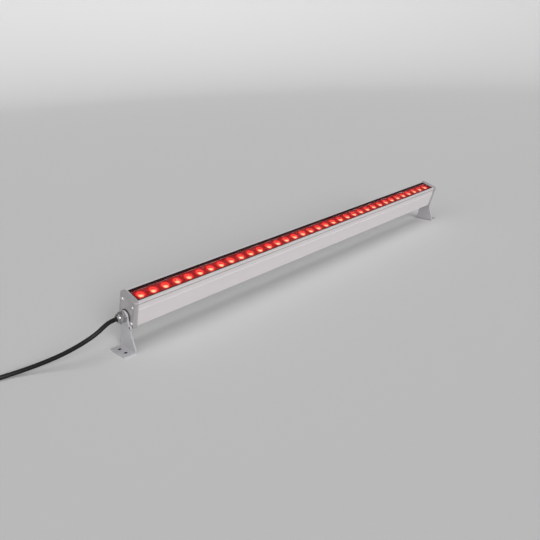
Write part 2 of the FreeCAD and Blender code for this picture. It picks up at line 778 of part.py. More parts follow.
def make_gland():
    """The metal cable gland: body with stem and hexagon, dome nut and rubber insert."""
    stem = rod("gland_stem", ("-(%s)" % PLATE_OUTER, "0", "0"), "stem_radius",
               "%s - (%s - cap_thick)" % (PLATE_OUTER, HALF_LENGTH))
    collar = hexagon("gland_collar", ("-(%s)" % NUT_START, "0", "0"), "gland_flats",
                     "gland_hex_height")
    sleeve = rod("gland_sleeve", ("-(%s + sleeve_reach)" % NUT_START, "0", "0"),
                 "sleeve_radius", "sleeve_reach")
    bore = rod("gland_bore_tool", ("-(%s)" % EXIT_REACH, "0", "0"), GLAND_BORE,
               "%s - (%s - cap_thick)" % (EXIT_REACH, HALF_LENGTH))
    solid = fuse("gland_body_solid", [stem, collar, sleeve])
    in_lamp(cut("gland_body_piece", solid, [bore]), "gland_body")
    mouth = "-(%s)" % EXIT_REACH
    ring = hexagon("gland_nut_ring", ("-(%s + nut_hex_height)" % NUT_START, "0", "0"),
                   "gland_flats - nut_flats_less", "nut_hex_height")
    dome = cone("gland_nut_dome", (mouth, "0", "0"), "nut_mouth_radius", "nut_round_radius",
                "nut_length - nut_hex_height")
    thread = rod("gland_nut_thread", ("-(%s + sleeve_reach)" % NUT_START, "0", "0"),
                 "sleeve_radius + thread_clearance", "sleeve_reach")
    throat = rod("gland_nut_throat", (mouth, "0", "0"), INSERT_RADIUS, "nut_length")
    in_lamp(cut("gland_nut_piece", fuse("gland_nut_solid", [ring, dome]), [thread, throat]),
            "gland_nut")
    insert = rod("gland_insert_solid", (mouth, "0", "0"), INSERT_RADIUS,
                 "nut_length - sleeve_reach")
    opening = rod("gland_insert_hole", (mouth, "0", "0"), "cable_radius + insert_gap",
                  "nut_length - sleeve_reach")
    in_lamp(cut("gland_insert_ring", insert, [opening]), "gland_insert")
    inner = rod("inner_cable_solid", (mouth, "0", "0"), "cable_radius",
                "%s - %s + inner_cable_reach" % (EXIT_REACH, HALF_LENGTH))
    in_lamp(group("inner_cable_set", [inner]), "inner_cable")


def make_pivot_bolt():
    """The hexagon bolt of the right-hand pivot and its steel washer."""
    washer_end = "%s + bolt_washer_thick" % PLATE_OUTER
    ring = rod("bolt_washer_disc", (PLATE_OUTER, "0", "0"), "bolt_washer_radius",
               "bolt_washer_thick")
    hole = rod("bolt_washer_hole", (PLATE_OUTER, "0", "0"), "bolt_radius + pivot_clearance",
               "bolt_washer_thick")
    in_lamp(cut("bolt_washer_ring", ring, [hole]), "bolt_washer")
    head = hexagon("pivot_bolt_head", (washer_end, "0", "0"), "bolt_flats", "bolt_head_height")
    shank = rod("pivot_bolt_shank", (HALF_LENGTH + " - cap_thick", "0", "0"), "bolt_radius",
                "%s - (%s - cap_thick)" % (washer_end, HALF_LENGTH))
    in_lamp(fuse("pivot_bolt_piece", [head, shank]), "pivot_bolt")


# ---- brackets --------------------------------------------------------------------

def make_bracket(word, side):
    """A bent plate: round head on the pivot, two ears, a flared leg, a foot outwards."""
    hole = "stem_radius" if side == LEFT else "bolt_radius"
    plate_start = span_start(side, PLATE_INNER, PLATE_OUTER)
    leg = mirrored([
        ("foot_width / 2", "0"),
        ("foot_width / 2", "leg_knee"),
        ("leg_neck_half", "leg_neck_height"),
        ("ear_half", "leg_neck_height + ear_rise"),
        ("ear_half", EAR_HEIGHT + " + ear_rise"),
        ("head_radius", EAR_HEIGHT + " + 2 * ear_rise"),
        ("head_radius", "pivot_height"),
    ])
    body = new_body("bracket_" + word)
    add_pad(body, "bracket_leg_" + word, "YZ", plate_start, "plate_thick", [leg])
    add_pad(body, "bracket_head_" + word, "YZ", plate_start, "plate_thick", [],
            [("0", "pivot_height", "head_radius")])
    foot_low = span_start(side, PLATE_INNER, PLATE_INNER + " + foot_reach")
    foot_high = "%s + foot_reach" % foot_low
    add_pad(body, "bracket_foot_" + word, "XY", "0", "plate_thick",
            [rectangle(foot_low, "-foot_width / 2", foot_high, "foot_width / 2")])
    inner_x = side * value_of(PLATE_INNER)
    outer_x = side * value_of(PLATE_OUTER)
    tip_x = side * (value_of(PLATE_INNER) + size("foot_reach"))
    thick = size("plate_thick")
    add_fillet(body, "bracket_bend_inner_" + word, "bend_inner",
               lambda edge: runs_along(edge, Y_AXIS)
               and abs(edge.CenterOfMass.x - outer_x) < NEAR
               and abs(edge.CenterOfMass.z - thick) < NEAR)
    add_fillet(body, "bracket_bend_outer_" + word, "bend_outer",
               lambda edge: runs_along(edge, Y_AXIS)
               and abs(edge.CenterOfMass.x - inner_x) < NEAR
               and abs(edge.CenterOfMass.z) < NEAR)
    add_fillet(body, "bracket_foot_corners_" + word, "foot_corner",
               lambda edge: runs_along(edge, Z_AXIS)
               and abs(edge.CenterOfMass.x - tip_x) < NEAR)
    pivot_start = "%s + plate_thick" % plate_start
    ears = [("%d * ear_hole_side" % way, EAR_HEIGHT, "ear_hole_radius") for way in (-1, 1)]
    add_pocket(body, "bracket_pivot_hole_" + word, "YZ", pivot_start, "plate_thick", [],
               [("0", "pivot_height", hole + " + pivot_clearance")] + ears)
    hole_x = outward(side, PLATE_INNER + " + foot_hole_reach")
    feet = [(hole_x, "%d * foot_hole_spacing / 2" % way, "foot_hole_radius") for way in (-1, 1)]
    add_pocket(body, "bracket_foot_holes_" + word, "XY", "plate_thick", "plate_thick", [], feet)
    in_bracket(body, "bracket_" + word)


# ---- cable -----------------------------------------------------------------------

# The free stretch after the gland's mouth, in ground coordinates. It leaves along the
# pivot axis, sinks to the ground behind that axis and ends square to the coil.
LEAD_POINTS = [
    (-534.0, 3.8, 68.5),
    (-548.0, 2.2, 64.0),
    (-562.5, 1.8, 57.4),
    (-579.0, 5.7, 50.0),
    (-598.0, 14.6, 40.6),
    (-621.0, 29.5, 29.1),
    (-648.0, 48.9, 17.8),
    (-678.0, 67.6, 9.1),
    (-707.0, 80.2, 5.5),
    (-730.0, 84.4, 5.3),
    (-750.0, 84.4, 5.3),
]
ARC_SHARE = 0.45
SELF_SKIP = 4
SAMPLE_STEP = 1.0


def exit_point():
    """The middle of the gland's mouth, where the cable leaves the light."""
    return FreeCAD.Vector(-value_of(EXIT_REACH), value_of(PIVOT_Y), size("pivot_height"))


def lead_route():
    """Every point of the free stretch, from the gland to the coil."""
    return [exit_point()] + [FreeCAD.Vector(*point) for point in LEAD_POINTS]


def rounded_path(route):
    """Straight runs joined by tangent arcs as large as their runs allow."""
    edges = []
    radii = []
    start = route[0]
    for before, corner, after in zip(route, route[1:], route[2:]):
        back = before - corner
        ahead = after - corner
        shorter = min(back.Length, ahead.Length)
        back.normalize()
        ahead.normalize()
        reach = ARC_SHARE * shorter
        half_turn = (math.pi - back.getAngle(ahead)) / 2
        radius = reach / math.tan(half_turn)
        radii.append(radius)
        first = corner + back * reach
        last = corner + ahead * reach
        inward = back + ahead
        inward.normalize()
        middle = corner + inward * (radius / math.cos(half_turn) - radius)
        edges.append(Part.LineSegment(start, first).toShape())
        edges.append(Part.Arc(first, middle, last).toShape())
        start = last
    edges.append(Part.LineSegment(start, route[-1]).toShape())
    return Part.Wire(edges), radii


def tube(path, start, along, radius):
    """One unbroken solid tube of round section along a path."""
    section = Part.Wire([Part.Circle(start, along, radius).toShape()])
    shell = Part.BRepOffsetAPI.MakePipeShell(path)
    shell.add(section)
    if not shell.isReady():
        raise RuntimeError("the tube can't be swept")
    shell.build()
    shell.makeSolid()
    solid = shell.shape()
    expected = math.pi * radius ** 2 * path.Length
    print("tube volume against section times length: %.4f" % (solid.Volume / expected))
    return solid


def self_gap(path, radius):
    """The least gap between stretches of a tube that aren't neighbours along it."""
    count = int(path.Length / SAMPLE_STEP)
    points = path.discretize(Number=count)
    skip = int(SELF_SKIP * 2 * radius / SAMPLE_STEP)
    least = min(points[one].distanceToPoint(points[other])
                for one in range(0, count, 2) for other in range(one + skip, count, 2))
    return least - 2 * radius


def feature(label, shape):
    """Keep a shape made with Part's own functions as a piece of its own."""
    item = DOC.addObject("Part::Feature", label + "_shape")
    item.Shape = shape
    item.Placement = FreeCAD.Placement()
    return finish(item, label)


def make_cable_lead():
    """The free stretch of cable from the gland to the coil."""
    route = lead_route()
    path, radii = rounded_path(route)
    print("cable bend radii:", ", ".join("%.0f" % radius for radius in radii))
    print("cable length before the coil: %.0f" % path.Length)
    feature("cable_lead", tube(path, route[0], route[1] - route[0], size("cable_radius")))


def coil_step():
    """How much the radius falls in each half turn, so that turns lie side by side."""
    return (2 * size("cable_radius") + size("coil_gap")) / 2


def coil_path():
    """A flat coil of half-turn arcs from outside to inside, then a quarter turn and a tail.

    Returns the path, where it starts, where it ends and which way round it turned last.
    """
    straight = 2 * size("cable_radius")
    entry = lead_route()[-1]
    point = entry - X_AXIS * straight
    edges = [Part.LineSegment(entry, point).toShape()]
    radius = size("coil_radius")
    heading = -1
    for _ in range(int(size("coil_half_turns"))):
        centre = point - Y_AXIS * (heading * radius)
        side_point = centre + X_AXIS * (heading * radius)
        far = centre - Y_AXIS * (heading * radius)
        edges.append(Part.Arc(point, side_point, far).toShape())
        point = far
        heading = -heading
        radius -= coil_step()
    radius = size("tail_radius")
    centre = point - Y_AXIS * (heading * radius)
    slant = math.sqrt(0.5) * radius
    middle = centre + X_AXIS * (heading * slant) + Y_AXIS * (heading * slant)
    last = centre + X_AXIS * (heading * radius)
    edges.append(Part.Arc(point, middle, last).toShape())
    tail = last - Y_AXIS * (heading * straight)
    edges.append(Part.LineSegment(last, tail).toShape())
    return Part.Wire(edges), entry, tail, heading


def make_cable_coil():
    """The rest of the cable, wound flat, one unbroken tube."""
    path, entry, _, _ = coil_path()
    gap = self_gap(path, size("cable_radius"))
    print("coil length %.0f, least gap to itself %.2f" % (path.Length, gap))
    feature("cable_coil", tube(path, entry, -X_AXIS, size("cable_radius")))


def coil_middle():
    """The common centre of the half turns on the coil's far side."""
    start = lead_route()[-1] - X_AXIS * (2 * size("cable_radius"))
    return start + Y_AXIS * size("coil_radius")


def make_coil_tie():
    """A strap with a small head, round the turns on the coil's far side."""
    middle = coil_middle()
    radius = size("cable_radius")
    turns = (int(size("coil_half_turns")) + 1) // 2
    outer = middle.x - size("coil_radius") - radius - size("tie_gap")
    width = (turns - 1) * 2 * coil_step() + 2 * radius + 2 * size("tie_gap")
    thick = size("tie_thick")
    low = middle.y - size("tie_width") / 2
    floor = middle.z - radius
    band = Part.makeBox(width + 2 * thick, size("tie_width"), 2 * radius + 2 * thick,
                        FreeCAD.Vector(outer - thick, low, floor - thick))
    edges = [edge for edge in band.Edges if runs_along(edge, Y_AXIS)]
    band = band.makeFillet(thick, edges)
    hollow = Part.makeBox(width, size("tie_width"), 2 * radius, FreeCAD.Vector(outer, low, floor))
    head = Part.makeBox(size("tie_head_length"), size("tie_width"), size("tie_head_height"),
                        FreeCAD.Vector(outer + width / 2, low, floor + 2 * radius))
    feature("coil_tie", band.fuse(head).cut(hollow).removeSplitter())


def bent_rods(radius, first_reach, length):
    """Round rods, one for each core, that lie on arcs which bend on into the coil.

    Each starts at a reach along the arcs from the sheath's end and has a length of its own.
    """
    _, _, tail, heading = coil_path()
    bend = size("core_bend")
    axis = tail - X_AXIS * (heading * bend)
    rods = []
    for number in range(CORE_COUNT):
        around = 2 * math.pi * number / CORE_COUNT
        offset = size("core_offset")
        centre = tail + X_AXIS * (offset * math.cos(around)) + Z_AXIS * (offset * math.sin(around))
        disc = Part.Face(Part.Wire([Part.Circle(centre, Y_AXIS, radius).toShape()]))
        disc.rotate(axis, Z_AXIS, -heading * math.degrees(first_reach / bend))
        rods.append(disc.revolve(axis, Z_AXIS, -heading * math.degrees(length / bend)))
    return rods


def make_cores():
    """The three insulated cores at the free end, and their bare copper strands."""
    length = size("core_length")
    for word, rod_shape in zip(("brown", "blue", "earth"),
                               bent_rods(size("core_radius"), 0.0, length)):
        feature("core_" + word, rod_shape)
    strands = bent_rods(size("strand_radius"), length, size("strand_length"))
    feature("core_strands", Part.makeCompound(strands))


# ---- build and export ------------------------------------------------------------

def build():
    """Make every piece."""
    fill_sheet()
    make_housing()
    for word, side in SIDES.items():
        make_end_cap(word, side)
        make_end_seal(word, side)
        make_cap_screws(word, side)
        make_pivot_seal(word, side)
        make_bracket(word, side)
    make_glass()
    make_thermal_pad()
    for number in range(1, MODULE_COUNT + 1):
        make_led_board(number)
        make_emitters(number)
        make_lens_tray(number)
        make_lenses(number)
    make_board_links()
    make_driver()
    make_gland()
    make_pivot_bolt()
    make_cable_lead()
    make_cable_coil()
    make_coil_tie()
    make_cores()
    DOC.removeObject(TRIAL.Name)
    DOC.recompute()


def check():
    """Stop if any object failed or any piece isn't a sound solid."""
    for item in DOC.Objects:
        if "Invalid" in item.State or "Error" in item.State:
            raise RuntimeError("%s failed: %s" % (item.Label, item.State))
    for item in PIECES:
        shape = item.Shape
        if shape.isNull() or not shape.isValid() or not shape.Solids:
            raise RuntimeError(item.Label + " has no sound shape")


def export():
    """Write each piece to its own file."""
    os.makedirs("parts", exist_ok=True)
    for item in PIECES:
        item.Shape.exportStep("parts/%s.step" % item.Label)
    print(len(PIECES), "pieces written")


build()
check()
export()
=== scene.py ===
import json
import logging
import math
from collections.abc import Callable, Sequence
from dataclasses import dataclass, field
from enum import Enum

import bmesh
import bpy
from mathutils import Matrix, Vector, noise


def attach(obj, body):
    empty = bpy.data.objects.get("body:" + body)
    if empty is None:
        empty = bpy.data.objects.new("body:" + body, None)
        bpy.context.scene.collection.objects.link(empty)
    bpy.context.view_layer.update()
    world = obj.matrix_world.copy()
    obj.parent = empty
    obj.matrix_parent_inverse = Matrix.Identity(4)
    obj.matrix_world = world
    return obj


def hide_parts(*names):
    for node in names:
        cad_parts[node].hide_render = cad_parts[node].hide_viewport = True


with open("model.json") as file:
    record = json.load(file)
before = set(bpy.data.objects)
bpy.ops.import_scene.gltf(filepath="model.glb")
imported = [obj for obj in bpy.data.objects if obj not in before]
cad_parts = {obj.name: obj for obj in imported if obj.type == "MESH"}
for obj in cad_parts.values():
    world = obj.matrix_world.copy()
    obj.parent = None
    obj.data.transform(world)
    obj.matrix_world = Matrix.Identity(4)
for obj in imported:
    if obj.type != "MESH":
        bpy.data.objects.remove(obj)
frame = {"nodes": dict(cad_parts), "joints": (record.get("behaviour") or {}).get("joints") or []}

# Looks of the outdoor wall washer light. Lengths are in metres, in the part's own frame:
# X along the lamp with the cable end at -X, the front long side at -Y, Z up.

LOG = logging.getLogger("wall_washer")
MM = 0.001
FRAME_PIXELS = 540
SENSOR_WIDTH = 36.0
WELD = 1e-6
# Angles in degrees: what stays sharp, what still counts as flat, what gets a broken edge.
CREASE = 35.0
FLAT_WITHIN = 0.5
BROKEN_FROM = 40.0
EDGE_SEGMENTS = 2
EDGE_PROFILE = 0.6

Colour = tuple[float, float, float]
Point = tuple[float, float, float]
Pair = tuple[float, float]
Placer = Callable[[float, float, float], Vector]
Mesh = bmesh.types.BMesh
Piece = bpy.types.Object
Finish = bpy.types.Material
Socket = bpy.types.NodeSocket


class Body(Enum):
    """The rigid bodies of the part."""

    LAMP = "lamp"
    BRACKET_LEFT = "bracket_left"
    BRACKET_RIGHT = "bracket_right"


class Side(Enum):
    """The two ends of the lamp, with the sign of X there."""

    LEFT = -1
    RIGHT = 1

    @property
    def word(self) -> str:
        """The end's name as the nodes spell it."""
        return self.name.lower()


@dataclass(frozen=True)
class LampFrame:
    """The tilted frame that the lamp's own pieces are drawn in, about the pivot axis."""

    tilt: float
    pivot: Vector

    @property
    def matrix(self) -> Matrix:
        """The move from the lamp's upright frame to the part's frame."""
        return Matrix.Translation(self.pivot) @ Matrix.Rotation(self.tilt, 4, "X")


PIVOT_PLACE = frame["joints"][0]["pos_m"]
LAMP = LampFrame(math.radians(18.0), Vector((0.0, PIVOT_PLACE[1], PIVOT_PLACE[2])))
# How high the housing's rim is over the pivot axis, upright. Heights are drops below it.
RIM = 41.0 * MM


# ---- mesh helpers ----------------------------------------------------------------

def link(name: str, data: bpy.types.ID) -> Piece:
    """Put an object with this data in the scene.

    Args:
        name: The object's name.
        data: Its mesh, curve, camera or light.

    Returns:
        The object.
    """
    made = bpy.data.objects.new(name, data)
    bpy.context.scene.collection.objects.link(made)
    return made


def make_piece(name: str, bm: Mesh, finish: Finish, node: str,
               body: Body = Body.LAMP, crease: float = CREASE,
               move: Matrix | None = None) -> Piece:
    """Turn a bmesh into a finished piece that rides on a body and replaces a CAD node.

    Args:
        name: The piece's name.
        bm: The mesh, which is freed.
        finish: The material of every face.
        node: The CAD node that the piece stands for.
        body: The body that the piece rides on.
        crease: The angle in degrees above which an edge stays sharp.
        move: A matrix that brings the mesh into the part's frame.

    Returns:
        The new object, its mesh in the part's frame.
    """
    bmesh.ops.remove_doubles(bm, verts=bm.verts, dist=WELD)
    bmesh.ops.recalc_face_normals(bm, faces=bm.faces)
    mesh = bpy.data.meshes.new(name)
    bm.to_mesh(mesh)
    bm.free()
    if move is not None:
        mesh.transform(move)
    mesh.materials.append(finish)
    mesh.polygons.foreach_set("use_smooth", [True] * len(mesh.polygons))
    mesh.set_sharp_from_angle(angle=math.radians(crease))
    piece = link(name, mesh)
    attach(piece, body.value)
    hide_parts(node)
    LOG.info("piece %s: %d faces on %s", name, len(mesh.polygons), body.value)
    return piece


def dress(finish: Finish, *nodes: str) -> None:
    """Give CAD nodes their finish.

    Args:
        finish: The material of every face.
        nodes: The names of the CAD nodes.
    """
    for node in nodes:
        mesh = frame["nodes"][node].data
        mesh.materials.clear()
        mesh.materials.append(finish)
        LOG.info("node %s: finish %s", node, finish.name)


def bridge(bm: Mesh, rings: Sequence[list[bmesh.types.BMVert]], closed: bool = False) -> None:
    """Join each ring of vertices to the next one with faces.

    Args:
        bm: The mesh that the rings are in.
        rings: Rings of the same count, or of one vertex where the shape ends in a point.
        closed: Whether the last ring joins the first one.
    """
    for ring, following in zip(rings, [*rings[1:], rings[0]] if closed else rings[1:]):
        count = max(len(ring), len(following))
        for step in range(count):
            after = (step + 1) % count
            corners = (ring[step % len(ring)], ring[after % len(ring)],
                       following[after % len(following)], following[step % len(following)])
            unique = list(dict.fromkeys(corners))
            if len(unique) > 2:
                bm.faces.new(unique)


def add_lathe(bm: Mesh, profile: Sequence[Pair], segments: int, place: Placer) -> None:
    """Turn a profile of (along, radius) points into a closed ring of faces.

    Args:
        bm: The mesh to add to.
        profile: The section, from one end to the other; a radius of zero closes it.
        segments: The number of steps round the axis.
        place: The point for a distance along the axis, a radius and an angle.
    """
    rings = []
    for along, radius in profile:
        count = segments if radius > 0 else 1
        rings.append([bm.verts.new(place(along, radius, 2 * math.pi * step / segments))
                      for step in range(count)])
    bridge(bm, rings)


def along_x(centre: Vector, sign: int = 1) -> Placer:
    """Points about an axis that runs along X from a centre, backwards for a sign of -1."""
    return lambda along, radius, angle: centre + Vector(
        (sign * along, radius * math.cos(angle), radius * math.sin(angle)))


def along_z(centre: Vector) -> Placer:
    """Points about an axis that runs along +Z from a centre."""
    return lambda along, radius, angle: centre + Vector(
        (radius * math.cos(angle), radius * math.sin(angle), along))


def add_block(bm: Mesh, low: Vector, high: Vector, round_by: float = 0.0) -> None:
    """Add a block between two corners.

    Args:
        bm: The mesh to add to.
        low: The corner with the low values.
        high: The corner with the high values.
        round_by: How far its edges are rounded.
    """
    scale = Matrix.Diagonal((*(high - low), 1.0))
    place = Matrix.Translation((low + high) / 2) @ scale
    made = bmesh.ops.create_cube(bm, size=1.0, matrix=place)
    if round_by > 0:
        edges = list({edge for vert in made["verts"] for edge in vert.link_edges})
        bmesh.ops.bevel(bm, geom=edges, offset=round_by, segments=EDGE_SEGMENTS,
                        affect="EDGES", profile=EDGE_PROFILE)


def add_hexagon(bm: Mesh, start: float, end: float, flats: float, chamfer: float) -> None:
    """Add a six-sided bar about the pivot axis, its end corners turned down.

    Args:
        bm: The mesh to add to, in the lamp's upright frame.
        start: The low X end.
        end: The high X end.
        flats: The width over the flats.
        chamfer: How far the corners are turned down at both ends.
    """
    corner = flats / 2 / math.cos(math.radians(30))
    place = along_x(Vector())
    rings = []
    for along, shrink in ((start, chamfer), (start + chamfer, 0.0),
                          (end - chamfer, 0.0), (end, chamfer)):
        rings.append([bm.verts.new(place(along, corner - shrink, math.pi * step / 3))
                      for step in range(6)])
    bridge(bm, rings)
    bm.faces.new(rings[0])
    bm.faces.new(rings[-1])


def soften(node: str, finish: Finish, edge: float, body: Body = Body.LAMP) -> None:
    """Stand in for a CAD node with the same shape and softly broken edges.

    Args:
        node: The CAD node to follow.
        finish: The material.
        edge: The width of the broken edges.
        body: The body that the piece rides on.
    """
    bm = bmesh.new()
    bm.from_mesh(frame["nodes"][node].data)
    bmesh.ops.remove_doubles(bm, verts=bm.verts, dist=WELD)
    bmesh.ops.dissolve_limit(bm, angle_limit=math.radians(FLAT_WITHIN), verts=bm.verts,
                             edges=bm.edges)
    piece = make_piece(node + "_soft_edged", bm, finish, node, body)
    bevel = piece.modifiers.new("broken_edges", "BEVEL")
    bevel.width = edge
    bevel.segments = EDGE_SEGMENTS
    bevel.limit_method = "ANGLE"
    bevel.angle_limit = math.radians(BROKEN_FROM)
    bevel.harden_normals = True


def cut_out(piece: Piece, tools: Mesh) -> None:
    """Cut tools, drawn in the lamp's upright frame, out of a piece for good.

    Args:
        piece: The piece to cut.
        tools: The tool mesh, which is freed.
    """
    bmesh.ops.recalc_face_normals(tools, faces=tools.faces)
    mesh = bpy.data.meshes.new("cutter")
    tools.to_mesh(mesh)
    tools.free()
    mesh.transform(LAMP.matrix)
    cutter = link("cutter", mesh)
    modifier = piece.modifiers.new("recess", "BOOLEAN")
    modifier.operation = "DIFFERENCE"
    modifier.solver = "EXACT"
    modifier.use_self = True
    modifier.object = cutter
    bpy.context.view_layer.update()
    graph = bpy.context.evaluated_depsgraph_get()
    carved = bpy.data.meshes.new_from_object(piece.evaluated_get(graph))
    piece.modifiers.clear()
    carved.set_sharp_from_angle(angle=math.radians(CREASE))
    piece.data = carved
    bpy.data.objects.remove(cutter)


# ---- shared shader effects -------------------------------------------------------

class NodeBuilder:
    """A shader node tree under construction."""

    def __init__(self, tree: bpy.types.NodeTree) -> None:
        """Start on a tree."""
        self.tree = tree

    def node(self, kind: str, **values: object) -> bpy.types.Node:
        """Add a shader node and set its properties.

        Args:
            kind: The node's type, without its first words.
            values: The properties to set.

        Returns:
            The node.
        """
        made = self.tree.nodes.new("ShaderNode" + kind)
        for key, value in values.items():
            setattr(made, key, value)
        return made

    def fill(self, socket: Socket, value: object) -> None:
        """Link a socket to another one, or give it a plain value.

        Args:
            socket: The input to fill.
            value: The other socket, or the value.
        """
        if isinstance(value, bpy.types.NodeSocket):
            self.tree.links.new(value, socket)
        else:
            socket.default_value = value

    def effect(self, name: str, **values: float) -> tuple[Socket, ...]:
        """Place a shared effect with its own values.

        Args:
            name: The effect's name.
            values: Its inputs, with underscores for spaces in their names.

        Returns:
            Its outputs in order.
        """
        node = self.node("Group", node_tree=bpy.data.node_groups[name])
        for key, value in values.items():
            node.inputs[key.replace("_", " ")].default_value = value
        return tuple(node.outputs)

    def math(self, operation: str, *terms: object, clamp: bool = False) -> Socket:
        """Add a Math node.

        Args:
            operation: The node's operation.
            terms: Its inputs in order.
            clamp: Whether the result is kept from 0 to 1.

        Returns:
            The node's output.
        """
        made = self.node("Math", operation=operation, use_clamp=clamp)
        for socket, term in zip(made.inputs, terms):
            self.fill(socket, term)
        return made.outputs[0]


class EffectGroup(NodeBuilder):
    """A shared effect under construction: a node group with named inputs and outputs."""

    def __init__(self, name: str, inputs: dict[str, float], *outputs: str) -> None:
        """Make an empty group with its sockets.

        Args:
            name: The effect's name.
            inputs: The inputs with their usual values.
            outputs: The names of the outputs.
        """
        super().__init__(bpy.data.node_groups.new(name, "ShaderNodeTree"))
        kind = "NodeSocketFloat"
        for label, value in inputs.items():
            socket = self.tree.interface.new_socket(label, in_out="INPUT", socket_type=kind)
            socket.default_value = value
        for label in outputs:
            self.tree.interface.new_socket(label, in_out="OUTPUT", socket_type=kind)
        self.inside = self.tree.nodes.new("NodeGroupInput")
        self.outside = self.tree.nodes.new("NodeGroupOutput")

    def fill(self, socket: Socket, value: object) -> None:
        """Fill a socket, with a text for one of the group's own inputs."""
        super().fill(socket, self.inside.outputs[value] if isinstance(value, str) else value)

    def place(self) -> Socket:
        """The object coordinates."""
        return self.node("TexCoord").outputs["Object"]

    def parts(self, vector: Socket) -> tuple[Socket, ...]:
        """Split a vector.

        Args:
            vector: The vector.

        Returns:
            Its X, Y and Z.
        """
        split = self.node("SeparateXYZ")
        self.fill(split.inputs[0], vector)
        return tuple(split.outputs)

    def contrast(self, value: Socket, gain: float, lift: float) -> Socket:
        """A value times a gain, plus a lift, kept from 0 to 1."""
        return self.math("MULTIPLY_ADD", value, gain, lift, clamp=True)

    def length(self, first: Socket, second: Socket) -> Socket:
        """The length of a vector from its two parts."""
        squares = [self.math("MULTIPLY", part, part) for part in (first, second)]
        return self.math("SQRT", self.math("ADD", *squares))

    def noise(self, scale: str, detail: float, roughness: float = 0.55,
              stretch: Point | None = None) -> Socket:
        """Noise over the object coordinates.

        Args:
            scale: The input that sets its scale.
            detail: Its octaves.
            roughness: How strong the finer octaves are.
            stretch: How much each axis is scaled first.

        Returns:
            The noise value.
        """
        vector = self.place()
        if stretch is not None:
            mapping = self.node("Mapping")
            self.fill(mapping.inputs["Vector"], vector)
            self.fill(mapping.inputs["Scale"], stretch)
            vector = mapping.outputs["Vector"]
        made = self.node("TexNoise")
        for label, value in (("Vector", vector), ("Scale", scale), ("Detail", detail),
                             ("Roughness", roughness)):
            self.fill(made.inputs[label], value)
        return made.outputs["Fac"]

    def give(self, label: str, source: Socket) -> None:
        """Send a value to one of the group's outputs."""
        self.fill(self.outside.inputs[label], source)


def build_grain() -> None:
    """Fine grain with slow unevenness: Fine for relief, Broad for colour and gloss."""
    group = EffectGroup("grain", {"Fine Scale": 1500.0, "Broad Scale": 18.0}, "Fine", "Broad")
    group.give("Fine", group.noise("Fine Scale", detail=3.0))
    group.give("Broad", group.noise("Broad Scale", detail=5.0))


def build_drawn_lines() -> None:
    """Faint lines along X, as a die leaves on an extrusion."""
    group = EffectGroup("drawn_lines", {"Scale": 900.0}, "Lines")
    group.give("Lines", group.noise("Scale", detail=6.0, roughness=0.7,
                                    stretch=(0.004, 1.0, 1.0)))


def build_edge_wear_and_highlight() -> None:
    """A mask that is high on outer edges, broken up by noise: partly wear, partly painted
    highlight.
    """
    group = EffectGroup("edge_wear_and_highlight", {"Width": 0.06, "Breakup": 240.0, "Level": 0.52}, "Wear And Highlight")
    bent = group.node("NewGeometry").outputs["Pointiness"]
    ranged = group.math("DIVIDE", group.math("SUBTRACT", bent, "Level"), "Width", clamp=True)
    broken = group.noise("Breakup", detail=6.0, roughness=0.6)
    sharp = group.contrast(broken, gain=2.4, lift=-0.6)
    group.give("Wear And Highlight", group.math("MULTIPLY", ranged, sharp, clamp=True))


def build_dust() -> None:
    """A mask that is high on surfaces that face up, in soft patches."""
    group = EffectGroup("dust", {"Amount": 0.5, "Patch Scale": 30.0}, "Dust")
    upward = group.parts(group.node("NewGeometry").outputs["Normal"])[2]
    patch = group.noise("Patch Scale", detail=8.0, roughness=0.65)
    patchy = group.contrast(patch, gain=2.0, lift=-0.5)
    settled = group.math("MULTIPLY", group.math("MAXIMUM", upward, 0.0), patchy)
    group.give("Dust", group.math("MULTIPLY", settled, "Amount", clamp=True))


def build_lamp_place() -> None:
    """Where a point lies in the lamp's own upright frame: Across and Up, in metres."""
    group = EffectGroup("lamp_place", {"Tilt": LAMP.tilt, "Pivot Y": LAMP.pivot.y,
                                       "Pivot Z": LAMP.pivot.z}, "Across", "Up")
    _, y, z = group.parts(group.place())
    off_y = group.math("SUBTRACT", y, "Pivot Y")
    off_z = group.math("SUBTRACT", z, "Pivot Z")
    cosine = group.math("COSINE", "Tilt")
    sine = group.math("SINE", "Tilt")
    group.give("Across", group.math("ADD", group.math("MULTIPLY", off_y, cosine),
                                    group.math("MULTIPLY", off_z, sine)))
    group.give("Up", group.math("SUBTRACT", group.math("MULTIPLY", off_z, cosine),
                                group.math("MULTIPLY", off_y, sine)))


def build_height_band() -> None:
    """A mask over a band of heights in the lamp's own upright frame."""
    group = EffectGroup("height_band", {"Middle": RIM, "Half": 1.0 * MM}, "Band")
    _, height = group.effect("lamp_place")
    group.give("Band", group.math("COMPARE", height, "Middle", "Half"))


def build_painted_hole_shade() -> None:
    """A mask over the walls of the holes in the brackets' feet and ears, for the painted shade
    in them.
    """
    group = EffectGroup("painted_hole_shade", {
        "Pivot Y": LAMP.pivot.y, "Skin": 0.15 * MM,
        "Foot X": 517.5 * MM, "Foot Half Spacing": 10.0 * MM, "Foot Radius": 3.0 * MM,
        "Ear Z": 49.5 * MM, "Ear Half Spacing": 14.2 * MM, "Ear Radius": 1.8 * MM}, "Shade")
    x, y, z = group.parts(group.place())
    off_y = group.math("ABSOLUTE", group.math("SUBTRACT", y, "Pivot Y"))
    off_foot = group.math("SUBTRACT", group.math("ABSOLUTE", x), "Foot X")
    off_ear = group.math("SUBTRACT", z, "Ear Z")
    masks = []
    for kind, off in (("Foot", off_foot), ("Ear", off_ear)):
        beside = group.math("SUBTRACT", off_y, kind + " Half Spacing")
        limit = group.math("ADD", kind + " Radius", "Skin")
        masks.append(group.math("LESS_THAN", group.length(off, beside), limit))
    group.give("Shade", group.math("MAXIMUM", *masks))


